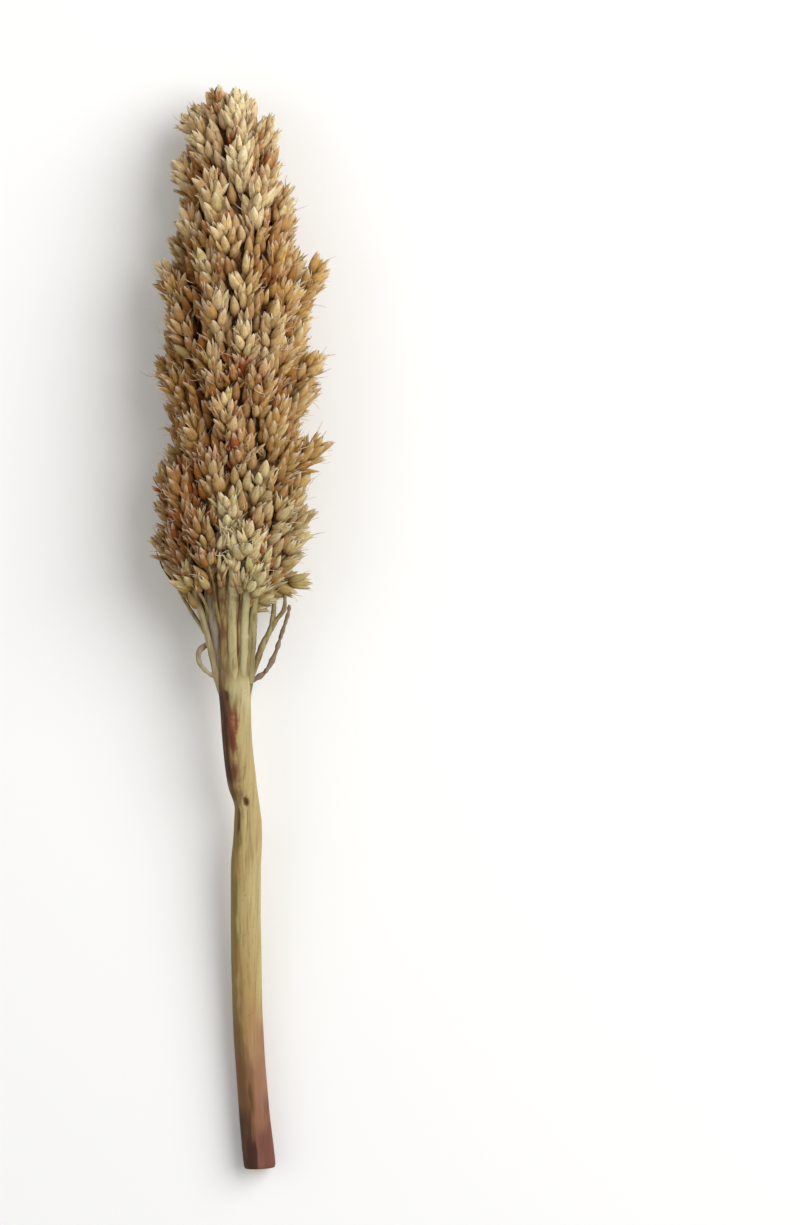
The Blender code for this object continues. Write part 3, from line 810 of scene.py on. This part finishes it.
def sterile_beside(plump, heading, away, direction, rng):
    """The narrow empty spikelet that stands on a stub beside a plump one."""
    turned = direction.cross(away) * rng.choice((-1.0, 1.0))
    lean = math.radians(rng.uniform(8, 24))
    aside = (turned + away * 0.45).normalized()
    pointing = (heading * math.cos(lean) + aside * math.sin(lean)).normalized()
    start = plump.root + turned * 0.0009 + away * 0.0005 + heading * 0.0006
    pale, warm, rusty, shade = plump.tint
    tint = [clamped(pale + rng.uniform(-0.25, 0.25)), warm, clamped(rusty * rng.uniform(0.4, 1.5)), shade]
    length = STERILE_LENGTH * rng.uniform(0.75, 1.2)
    width = rng.uniform(0.8, 1.2)
    return Spikelet(start, pointing, away, length, width, tint, plump.moss, rng.choice(STERILE))


def inner_spikelets(rng):
    """Spikelets deep between the ears, close to the core, darker with painted shade."""
    found = []
    for i in range(INNER_SPIKELETS):
        y = 0.004 + 0.136 * (i + 0.5) / INNER_SPIKELETS
        azimuth = i * GOLDEN_ANGLE + rng.uniform(-0.2, 0.2)
        core = along(CORE_RADIUS, y)
        if core < 0.004 or (in_front(azimuth) and y < FRONT_BARE_Y):
            continue
        outward = outward_at(y, azimuth).normalized()
        lean = math.radians(rng.uniform(14, 34))
        heading = axis_frame(y)[0] * math.cos(lean) + outward * math.sin(lean)
        start = surface_point(y, azimuth, core + rng.uniform(-0.0014, 0.0010))
        # A low depth gives them painted shade
        tint, moss = tint_at(start, rng, rng.uniform(0.0, 0.45))
        size = SPIKELET_LENGTH * rng.uniform(0.85, 1.05)
        found.append(Spikelet(start, heading, outward, size, 1.0, tint, moss, rng.choice(PLUMP)))
    return found


def stem_spikelets():
    """Spikelets on the broad stems, below the lowest ears."""
    rng = random.Random(SEED + 8)
    first, last = STEM_SPIKELETS_Y
    found = []
    for route, _, _ in BROAD_STEMS:
        path = rounded_path(route_points(route), BROAD_STEPS)
        spots = [place for place in path if first < place.y < last]
        for place in rng.sample(spots, min(STEM_SPIKELETS, len(spots))):
            outward = (place - axis_point(place.y)).normalized()
            direction = axis_frame(place.y)[0]
            side = direction.cross(outward) * rng.choice((-1.0, 1.0)) * rng.uniform(0.15, 0.55)
            heading = direction + side + outward * rng.uniform(0.10, 0.40)
            start = place + outward * 0.0007 + side * 0.0012
            tint, moss = tint_at(start, rng, 1.0)
            size = SPIKELET_LENGTH * rng.uniform(0.65, 1.0)
            width = rng.uniform(0.75, 1.05)
            found.append(Spikelet(start, heading, outward, size, width, tint, moss, rng.choice(PLUMP)))
            found.append(sterile_beside(found[-1], heading.normalized(), outward, direction, rng))
    return found


def openness(points):
    """How far out in the head each point is, from 0 in the crevices to 1 outside. It sets how much painted
    shade the husks get.
    """
    ys = np.linspace(0.0, TIP_Y, 120)
    middle_x, middle_z, reach = (
        np.interp(points[:, 1], ys, [along(stations, y) for y in ys])
        for stations in (AXIS_X, AXIS_Z, HEAD_RADIUS)
    )
    away = np.hypot(points[:, 0] - middle_x, (points[:, 2] - middle_z) / FLATTENED)
    near_tip = np.clip((points[:, 1] - 0.128) / 0.014, 0.0, 1.0)
    return np.clip((away / reach - 0.50) / 0.32 + near_tip, 0.0, 1.0)


def spikelet_piece(name, spikelets, material):
    """One piece of many spikelets."""
    points, faces, tints, places, uvs = [], [], [], [], []
    total = 0
    for number, s in enumerate(spikelets):
        shape, quads, reach, side, uv = s.template
        points.append(shape @ s.turn.T + np.array(s.root))
        faces.append(quads + total)
        total += len(shape)
        tints.append(np.tile(s.tint, (len(shape), 1)))
        places.append(np.column_stack((reach, side, np.full(len(shape), s.moss), np.ones(len(shape)))))
        uvs.append(uv + (number * 0.37 % 5, number * 0.71 % 3))
    points = np.concatenate(points)
    tints = np.concatenate(tints)
    # Painted shade: husks deeper in the head are darker
    tints[:, 3] *= openness(points)
    masks = {"tint": tints, "place": np.concatenate(places)}
    quads = [quad for block in faces for quad in block.tolist()]
    return head_piece(name, points, quads, material, masks, np.concatenate(uvs))


def make_husks(material):
    """All the husked grain and the chaff. Returns the outer spikelets."""
    rng = random.Random(SEED + 5)
    outer = [s for place in ear_layout() for s in spikelets_of_ear(place, rng)]
    outer += stem_spikelets()
    outer.sort(key=lambda s: s.root.y)
    share = len(outer) // len(HUSK_PIECES) + 1
    for number, name in enumerate(HUSK_PIECES):
        spikelet_piece(name, outer[number * share:(number + 1) * share], material)
    spikelet_piece("husks_inner", inner_spikelets(rng), material)
    spikelet_piece("chaff", chaff(), material)
    return outer


def tube(path, radii, sides, flat=1.0, across=None):
    """Points and faces of a tube along a path, with closed ends.

    Flat is its thickness over its width, and across is the way that its width runs.
    """
    points = []
    last = len(path) - 1
    across = Vector(across) if across else (path[1] - path[0]).orthogonal()
    for i, centre in enumerate(path):
        tangent = (path[min(i + 1, last)] - path[max(i - 1, 0)]).normalized()
        across = (across - tangent * tangent.dot(across)).normalized()
        other = tangent.cross(across)
        for k in range(sides):
            a = math.tau * k / sides
            points.append(centre + (across * math.cos(a) + other * math.sin(a) * flat) * radii[i])
    return points, closed_rings(len(path), sides)


def joined(parts):
    """Points and faces of several shapes as one."""
    points, faces = [], []
    for part_points, part_faces in parts:
        start = len(points)
        points.extend(part_points)
        faces.extend(tuple(start + v for v in face) for face in part_faces)
    return points, faces


def turn_between(degrees, other):
    """The angle from the other to this one, from -180 to 180 degrees."""
    return (degrees - other + 180) % 360 - 180


def mark_strength(mark, degrees, y):
    """How strong a mark is at a place on the stalk, from 0 to its own strength."""
    middle, mark_y, half_angle, half_length, strength = mark
    turn = turn_between(degrees, middle)
    return strength * math.exp(-((turn / half_angle) ** 2) - ((y - mark_y) / half_length) ** 4)


def strongest(marks, degrees, y):
    return max(mark_strength(mark, degrees, y) for mark in marks)


def skin_height(degrees, y):
    """How far the stalk's skin stands above or below its mean radius."""
    a = math.radians(degrees)
    wander = 0.5 * blotches((math.cos(a) * 0.004, y, math.sin(a) * 0.004), 0.006, 9.0)
    ribs = math.cos(RIBS * (a + 0.12 * wander)) * RIB_HEIGHT * (0.4 + wander)
    flute = bell((y - COLLAR_Y - 0.004) / 0.008) * 0.00018 * math.cos(BRANCHES * a)
    pit = 0.0009 * mark_strength(BUD_SCAR, degrees, y) + 0.00050 * mark_strength(BUD_GROOVE, degrees, y)
    rim = 0.00028 * mark_strength(BUD_RIM, degrees, y)
    crease = 0.00045 * mark_strength(KINK_CREASE, degrees, y)
    swelling = 0.00016 * (blotches((math.cos(a) * 0.004, y * 0.4, math.sin(a) * 0.004), 0.005, 3.0) - 0.5)
    return ribs + flute + rim + swelling - pit - crease


def end_share(degrees, place):
    """How far the colours of the cut end have taken over, from 0 to 1, sooner on the right."""
    ragged = 0.012 * (blotches(place, 0.007, 5.0) - 0.5)
    share = clamped((END_COLOUR_Y - place[1] + ragged) / END_COLOUR_LENGTH)
    return share + 0.8 * share * (1 - share) * max(math.cos(math.radians(degrees)), 0.0)


def stain_at(degrees, y, place):
    """(red, brown, maroon, green) of the stalk's skin."""
    ragged = 0.55 + 0.9 * blotches((place[0], place[1] * 0.25, place[2]), 0.0013, 6.0)
    red = strongest(RED_STAINS, degrees, y) * ragged
    brown = strongest(BROWN_STAINS, degrees, y) * ragged
    green = 0.75 * bell((y + 0.018) / 0.020) * blotches(place, 0.006, 8.0)
    return red, brown, end_share(degrees, place), green


def bleach_line(degrees, y):
    """A pale crease that runs down to the left from under the collar."""
    share = (y + 0.0225) / 0.0045
    off = (degrees - 118 + 40 * share) / 7
    return 0.9 * bell(off) if 0 < share < 1 else 0.0


def olive_shade_at(degrees, place):
    """How olive and shaded the skin is, along the stalk's left side and wider near its cut end: partly
    olive colour, partly painted shade on the side away from the light.
    """
    leftward = -math.cos(math.radians(degrees)) + 0.20 * (blotches(place, 0.004, 1.5) - 0.5)
    leftward += 0.35 * (blotches((place[0], place[1] * 0.2, place[2]), 0.0012, 4.0) - 0.5)
    near_end = clamped((END_COLOUR_Y - place[1]) / END_COLOUR_LENGTH)
    return 0.85 * clamped((leftward - 0.36 + 0.42 * near_end) / 0.26)


def bleach_and_painted_light(degrees, y):
    """How pale the skin is: on the collar's right, in a crease below it and on the right edge; the crease
    is bleached, the collar partly so, and its upper right and the right edge are painted light.
    """
    # Painted light: the collar is paler where it faces the upper right
    facing = clamped(0.3 + 1.6 * math.cos(math.radians(degrees - 45)))
    collar = 0.8 * facing * bell((y - COLLAR_Y + 0.003) / 0.0050)
    # Painted light on the lit right side
    edge = 0.35 * clamped(math.cos(math.radians(degrees))) * clamped((y + 0.090) / 0.020)
    return min(collar + edge + bleach_line(degrees, y), 1.0)


def stalk_skin(material):
    """The cut stalk, finely ribbed, with its bud scar, kink and flat cut."""
    points, stains, details = [], [], []
    rings = int((SKIN_END_Y - CUT_END_Y) / SKIN_STEP)
    for depth, size in END_RINGS:
        points_of_end_ring(points, stains, details, depth, size)
    for i in range(rings + 1):
        y = CUT_END_Y + (SKIN_END_Y - CUT_END_Y) * i / rings
        _, sideways, upwards = axis_frame(y)
        corner = CORNER_ROUNDING * math.exp(-i / 0.8)
        for k in range(SKIN_SIDES):
            degrees = 360 * k / SKIN_SIDES
            a = math.radians(degrees)
            radius = along(STALK_RADIUS, y) + skin_height(degrees, y) - corner
            place = axis_point(y) + (sideways * math.cos(a) + upwards * math.sin(a)) * radius
            place.z = max(place.z, 0.0)
            points.append(place)
            stains.append(stain_at(degrees, y, place))
            above = clamped((y - COLLAR_Y - 0.0005) / 0.003)
            # Painted shade: lavender grey in the gaps between the branches, on the left above the collar
            gap = 1.2 * above * clamped(-math.cos(a)) * blotches(place, 0.003, 2.5)
            # Painted shade, partly olive colour: the left side, and the skin above the collar under the
            # branches
            olive_shade = max(olive_shade_at(degrees, place), 0.8 * above)
            details.append((0.0, gap, bleach_and_painted_light(degrees, y), olive_shade))
    faces = closed_rings(len(points) // SKIN_SIDES, SKIN_SIDES)
    masks = {"stain": np.array(stains), "detail": np.array(details)}
    return stalk_piece("stalk_skin", points, faces, material, masks)


def points_of_end_ring(points, stains, details, depth, size):
    """One ring of the cut face, that share of the radius wide and sunk by depth millimetres."""
    tangent, sideways, upwards = axis_frame(CUT_END_Y)
    for k in range(SKIN_SIDES):
        a = math.tau * k / SKIN_SIDES
        radius = (along(STALK_RADIUS, CUT_END_Y) - CORNER_ROUNDING) * size
        rough = 0.00012 * blotches((math.cos(a) * size, math.sin(a) * size, 0.0), 0.35, 1.0)
        place = axis_point(CUT_END_Y) + (sideways * math.cos(a) + upwards * math.sin(a)) * radius
        points.append(place + tangent * (depth * MILLIMETRE + rough))
        stains.append((0.0, 0.0, 0.3, 0.0))
        details.append((1.0 if size < 0.8 else 0.5, 0.0, 0.0, 0.0))


def rounded_path(points, steps):
    """Points close together on a smooth curve through the given ones."""
    found = []
    last = len(points) - 1
    for i in range(last):
        a, b = points[i], points[i + 1]
        from_a = (b - points[max(i - 1, 0)]) / 2
        from_b = (points[min(i + 2, last)] - a) / 2
        for k in range(steps):
            t = k / steps
            ends = a.lerp(b, t * t * (3 - 2 * t))
            found.append(ends + from_a * (t * (1 - t) ** 2) - from_b * (t * t * (1 - t)))
    return found + [points[-1]]


def lumpy(radii, path, amount, size):
    """The radii with lumps and pinches of about that size along the path."""
    return [r * (1 + amount * (2 * blotches(p, size, 5.0) - 1)) for r, p in zip(radii, path)]


def branch_tubes():
    """Branches that cling round the rachis above the collar and spread into the head's base."""
    rng = random.Random(SEED + 1)
    tubes = []
    for i in range(BRANCHES):
        azimuth = math.tau * (i + rng.uniform(-0.2, 0.2)) / BRANCHES
        root_y = COLLAR_Y + rng.uniform(-0.001, 0.002)
        end_y = BRANCH_ENDS_Y + rng.uniform(-0.003, 0.003)
        spread = along(CORE_RADIUS, end_y) * rng.uniform(0.72, 0.9)
        stout = rng.uniform(1.1, 1.6)
        if not in_front(azimuth):
            tubes.append(branch_tube(azimuth, root_y, end_y, 0.0048, 0.0060, spread, stout))
    for i in range(EXTRA_BRANCHES):
        azimuth = math.tau * (i + 0.5 + rng.uniform(-0.3, 0.3)) / EXTRA_BRANCHES
        root_y = COLLAR_Y + rng.uniform(0.000, 0.006)
        end_y = BRANCH_ENDS_Y + rng.uniform(-0.006, 0.006)
        spread = along(CORE_RADIUS, end_y) * rng.uniform(0.45, 0.80)
        first = rng.uniform(0.0040, 0.0048)
        stout = rng.uniform(0.6, 1.1)
        if not in_front(azimuth):
            tubes.append(branch_tube(azimuth, root_y, end_y, first, first + 0.0012, spread, stout))
    return tubes


def in_front(azimuth):
    return FRONT_SECTOR[0] < math.degrees(azimuth) % 360 < FRONT_SECTOR[1]


def branch_tube(azimuth, root_y, end_y, first, second, spread, stout):
    """A branch from the collar, by its distance from the middle near its root, halfway and at its end."""
    start_y = root_y - 0.003
    stations = (
        (start_y, 0.0030), (root_y, 0.0038), (root_y + 0.004, first), (0.000, second), (end_y, spread),
    )
    path = []
    for k in range(BRANCH_STEPS + 1):
        y = start_y + (end_y - start_y) * k / BRANCH_STEPS
        wander = 0.03 * math.sin(y * 400 + azimuth * 3)
        path.append(surface_point(y, azimuth + wander, along(stations, y)))
    radii = [BRANCH_RADIUS * stout * (1.15 - 0.45 * k / BRANCH_STEPS) for k in range(BRANCH_STEPS + 1)]
    return tube(path, lumpy(radii, path, 0.13, 0.003), TWIG_SIDES)


def route_points(route):
    """The points of a route that is given in millimetres."""
    level = along(AXIS_Z, COLLAR_Y)
    return [Vector((x * MILLIMETRE, y * MILLIMETRE, level + height * MILLIMETRE)) for x, y, height in route]


def twig_tube(route, widths, lumps=0.15, flat=1.0, steps=7):
    """A bare twig along its route, with half its width in millimetres at each point."""
    path = rounded_path(route_points(route), steps)
    radii = np.interp(np.arange(len(path)) / steps, range(len(widths)), widths) * MILLIMETRE
    return tube(path, lumpy(radii, path, lumps, 0.0012), TWIG_SIDES, flat, (1.0, 0.0, 0.0))


def tube_masks(points, green, brown, grey, bleached):
    """Stain and detail masks of one tube, mottled, streaked along it and with painted shade on its sides.
    """
    mottle = np.array([0.5 + 0.7 * blotches(p, 0.004, 3.0) for p in points])
    streak = np.array([blotches((p[0], p[1] * 0.2, p[2]), 0.0009, 6.0) for p in points])
    sides = np.abs(np.cos(math.tau * np.arange(len(points)) / TWIG_SIDES)) ** 3
    none = np.zeros(len(points))
    browner = brown * mottle + 1.1 * np.clip(streak - 0.60, 0.0, 1.0)
    greener = green * mottle * (0.4 + 1.2 * streak)
    stain = np.column_stack((none, browner, none, np.minimum(greener, 1.0)))
    # The last detail channel is painted shade on the tube's sides
    return stain, np.column_stack((none, grey * mottle, none + bleached, 0.70 * sides * mottle))


def masks_of(tubes, tones):
    """Stain and detail masks of some tubes, from the (green, brown, grey, bleached) of each."""
    stains, details = zip(*(tube_masks(points, *tone) for (points, _), tone in zip(tubes, tones)))
    return {"stain": np.concatenate(stains), "detail": np.concatenate(details)}


def stem_tones(count, rng):
    """(green, brown, grey, bleached) of some stems, each a little different from the next."""
    return [(rng.uniform(0.2, 0.9), rng.uniform(0.0, 0.5), rng.uniform(0.0, 0.2), rng.uniform(0.1, 0.8))
            for _ in range(count)]


def make_branches(material):
    """The branches, the broad stems and the bare twigs at the head's base."""
    around = branch_tubes() + [twig_tube(LEFT_BRANCH, LEFT_WIDTHS)]
    broad = [twig_tube(route, widths, 0.12, 0.55, BROAD_STEPS) for route, widths, _ in BROAD_STEMS]
    forked = [twig_tube(FORKED_TWIG, FORKED_WIDTHS), twig_tube(TWIG_FORK, FORK_WIDTHS)]
    shapes = {
        "branches": (around, stem_tones(len(around), random.Random(SEED + 3))),
        "broad_stems": (broad, [tone for _, _, tone in BROAD_STEMS]),
        "curled_twig": ([twig_tube(CURLED_TWIG, CURLED_WIDTHS, 0.2, 0.6)], [CURLED_TONE]),
        "forked_twig": (forked, [FORKED_TONE] * 2),
        "plain_twig": ([twig_tube(PLAIN_TWIG, PLAIN_WIDTHS, 0.45)], [PLAIN_TONE]),
    }
    for name, (tubes, tones) in shapes.items():
        points, faces = joined(tubes)
        stalk_piece(name, points, faces, material, masks_of(tubes, tones))


def ear_stem_route(root, tip, outward):
    """Points along the stem of an ear, from the collar if it is one of the lowest in front."""
    route = [root, root.lerp(tip, 0.33) - outward * 0.0012, root.lerp(tip, 0.72)]
    off = root - axis_point(root.y)
    azimuth = math.atan2(off.z, off.x)
    if root.y < LOW_EARS_Y and in_front(azimuth):
        foot = surface_point(COLLAR_Y + 0.003, azimuth, 0.0040)
        route[:0] = [foot, foot.lerp(root, 0.5) - outward * 0.0014]
    return route


def ear_stems(material):
    """The thin stems that carry the ears, seen between them, and the awns."""
    tubes = []
    for place in ear_layout():
        path = rounded_path(ear_stem_route(*place), 5)
        radii = np.linspace(*EAR_STEM_RADII, len(path))
        tubes.append(tube(path, lumpy(radii, path, 0.2, 0.003), 6))
    tones = stem_tones(len(tubes), random.Random(SEED + 4))
    for route in AWNS:
        tubes.append(twig_tube(route, AWN_WIDTHS, 0.2))
        tones.append(AWN_TONE)
    points, faces = joined(tubes)
    return head_piece("ear_stems", points, faces, material, masks_of(tubes, tones))


def bristle_piece(spikelets, material):
    """Fine pale bristles between the husks, and thin awns past their tips."""
    rng = random.Random(SEED + 9)
    tubes = []
    for s in spikelets:
        if rng.random() > along(BRISTLE_SHARE, s.root.y):
            continue
        heading = Vector(s.turn[:, 2])
        side = Vector(s.turn[:, 1]).normalized() * rng.uniform(-1.0, 1.0)
        side += Vector(s.turn[:, 0]).normalized() * 0.5
        start = s.root + heading * rng.uniform(0.2, 0.8)
        onward = (heading.normalized() + side * rng.uniform(0.2, 1.1)).normalized()
        onward *= rng.uniform(*BRISTLE_LENGTHS)
        middle = start + onward * 0.5 + side * rng.uniform(-BRISTLE_BEND, BRISTLE_BEND)
        path = rounded_path([start, middle, start + onward], 3)
        tubes.append(tube(path, np.linspace(*BRISTLE_RADII, len(path)), 4))
    points, faces = joined(tubes)
    return head_piece("bristles", points, faces, material)


def bristle_material():
    n = Nodes("bristle")
    tone = n.noise(120.0, detail=1.0)
    return n.paint(n.mix(n.spread(tone, 0.40, 0.62), BRISTLE, RED_BRISTLE), 0.55)


def stalk_material():
    """Dry stem: straw with green, streaked, maroon towards the cut, with red and dark stains, painted shade
    on its left side, between the branches and on the twigs' sides, and painted light on its right.
    """
    n = Nodes("stem")
    red, brown, maroon, green = n.masks("stain")
    # Detail masks: pith, lavender grey with painted shade, bleach with painted light, olive with painted
    # shade
    pith, gap, bleached, olive_shade = n.masks("detail")
    place = n.add("ShaderNodeTexCoord").outputs["Object"]
    broad = n.noise(1.0, n.stretched(place, (170.0, 22.0, 170.0)), 2.0)
    streaks = n.noise(1.0, n.stretched(place, (1300.0, 36.0, 1300.0)), 3.0, 0.6)
    fine = n.noise(1.0, n.stretched(place, (3200.0, 100.0, 3200.0)), 2.0)
    specks = n.noise(1600.0, detail=1.0)
    mottle = n.noise(900.0)
    # Painted shade: tan and wine turn darker on the shaded left side
    tan = n.mix(olive_shade, TAN_ROSE, RUSSET_IN_SHADE)
    wine = n.mix(n.spread(broad, 0.38, 0.62), WINE, MAUVE)
    wine = n.mix(n.ragged(olive_shade, streaks, 0.35, 0.95, 0.4), wine, MAROON_IN_SHADE)
    colour = n.layers(
        n.mix(n.spread(broad, 0.36, 0.62), STRAW, STRAW_GOLD),
        (green, LEAF_GREEN),
        (n.spread(streaks, 0.50, 0.74, 0.0, 0.45), UMBER),
        (n.spread(streaks, 0.44, 0.20, 0.0, 0.35), STRAW),
        # Bleach of stems and skin, and painted light on the stalk's right side and collar
        (bleached, PALE_STRAW),
        # Painted shade, partly olive colour: left side, under the branches and the twigs' sides
        (n.ragged(olive_shade, streaks, 0.25, 1.30, 0.5), OLIVE_SHADE_STRAW),
        (n.ragged(maroon, streaks, 0.10, 0.68, 0.25), tan),
        # Lavender: grey tone of some stems and painted shade between the branches
        (gap, LAVENDER_GREY_AND_SHADE),
        (n.ragged(brown, streaks, 0.50, 1.05, 0.7), UMBER),
        (n.ragged(maroon, streaks, 0.95, 1.15, 0.5), wine),
        (n.ragged(red, mottle, 0.85, 1.50, 1.2), RED_STAIN),
        (n.ragged(brown, streaks, 0.95, 1.50, 0.7), DARK_STAIN),
        (n.spread(specks, 0.70, 0.76, 0.0, 0.55), UMBER),
        (pith, n.mix(n.spread(specks, 0.4, 0.6), PITH, UMBER)),
    )
    height = n.mix(0.5, n.spread(streaks, 0.0, 1.0), n.spread(fine, 0.0, 1.0))
    n.bump(height, 0.4, 0.00025)
    n.shader.inputs["Specular IOR Level"].default_value = 0.14
    return n.paint(colour, n.spread(fine, 0.3, 0.7, 0.50, 0.66))


def head_core_piece(material):
    """The dark middle of the head, seen only in the crevices, its darkness painted shade over a brown core.
    """
    first, last = CORE_STARTS_Y, CORE_RADIUS[-1][0]
    points = []
    for i in range(CORE_RINGS):
        y = first + (last - first) * i / (CORE_RINGS - 1)
        dome = math.sqrt(clamped((y - first) / CORE_DOME))
        for k in range(CORE_SIDES):
            a = math.tau * k / CORE_SIDES
            base = surface_point(y, a, 1.0) - axis_point(y)
            lump = blotches(axis_point(y) + base * 0.014, 0.0022, 4.0)
            radius = (along(CORE_RADIUS, y) * 0.86 - 0.0012 + 0.0022 * lump) * dome
            points.append(axis_point(y) + base * max(radius, 0.0008))
    return head_piece("head_core", points, closed_rings(CORE_RINGS, CORE_SIDES), material)


def core_material():
    n = Nodes("core_shade")
    lumps = n.noise(700.0)
    # Painted shade: the core is near black, with brown lumps
    colour = n.mix(n.spread(lumps, 0.35, 0.65), CORE_SHADE_DARK, CORE_BROWN)
    n.bump(lumps, 0.6, 0.0008)
    return n.paint(colour, 0.85)


def make_stage():
    """A plain pale floor, and soft light from the upper right."""
    mesh = bpy.data.meshes.new("floor")
    corners = [(x * FLOOR_HALF, y * FLOOR_HALF, 0) for x, y in ((-1, -1), (1, -1), (1, 1), (-1, 1))]
    mesh.from_pydata(corners, [], [(0, 1, 2, 3)])
    mesh.materials.append(Nodes("floor_paper").paint(FLOOR_COLOUR, 0.9))
    placed("floor", mesh)
    add_light("key", *KEY_LIGHT)
    add_light("fill", *FILL_LIGHT)
    world = bpy.data.worlds.new("studio")
    world.use_nodes = True
    background = world.node_tree.nodes["Background"]
    background.inputs["Color"].default_value = (*SKY, 1.0)
    background.inputs["Strength"].default_value = SKY_STRENGTH
    bpy.context.scene.world = world
    bpy.context.scene.view_settings.view_transform = "Standard"


def add_light(name, place, size, power):
    """A round lamp that shines on the origin."""
    light = bpy.data.lights.new(name, "AREA")
    light.shape = "DISK"
    light.size = size
    light.energy = power
    lamp = placed(name, light)
    lamp.location = place
    lamp.rotation_euler = (-Vector(place)).to_track_quat("-Z", "Y").to_euler()


def make_camera():
    """Looks straight down with the photograph's framing."""
    camera = bpy.data.cameras.new("camera")
    camera.sensor_fit = "VERTICAL"
    camera.sensor_height = 36.0
    view_height = PHOTO_SIZE[1] * METRES_PER_PIXEL
    camera.lens = camera.sensor_height * (CAMERA_HEIGHT - SCALE_HEIGHT) / view_height
    holder = placed("camera", camera)
    holder.location = (
        (PHOTO_SIZE[0] / 2 - ORIGIN_PIXEL[0]) * METRES_PER_PIXEL,
        (ORIGIN_PIXEL[1] - PHOTO_SIZE[1] / 2) * METRES_PER_PIXEL,
        CAMERA_HEIGHT,
    )
    bpy.context.scene.camera = holder


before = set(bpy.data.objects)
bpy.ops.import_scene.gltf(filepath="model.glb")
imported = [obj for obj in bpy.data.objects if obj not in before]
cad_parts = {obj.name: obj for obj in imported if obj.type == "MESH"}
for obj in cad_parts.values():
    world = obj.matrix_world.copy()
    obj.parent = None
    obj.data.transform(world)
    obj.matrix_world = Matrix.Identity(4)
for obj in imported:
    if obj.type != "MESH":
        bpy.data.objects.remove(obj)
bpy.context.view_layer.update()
make_camera()
make_stage()
outer_spikelets = make_husks(husk_material())
head_core_piece(core_material())
stem = stalk_material()
stalk_skin(stem)
make_branches(stem)
ear_stems(stem)
bristle_piece(outer_spikelets, bristle_material())
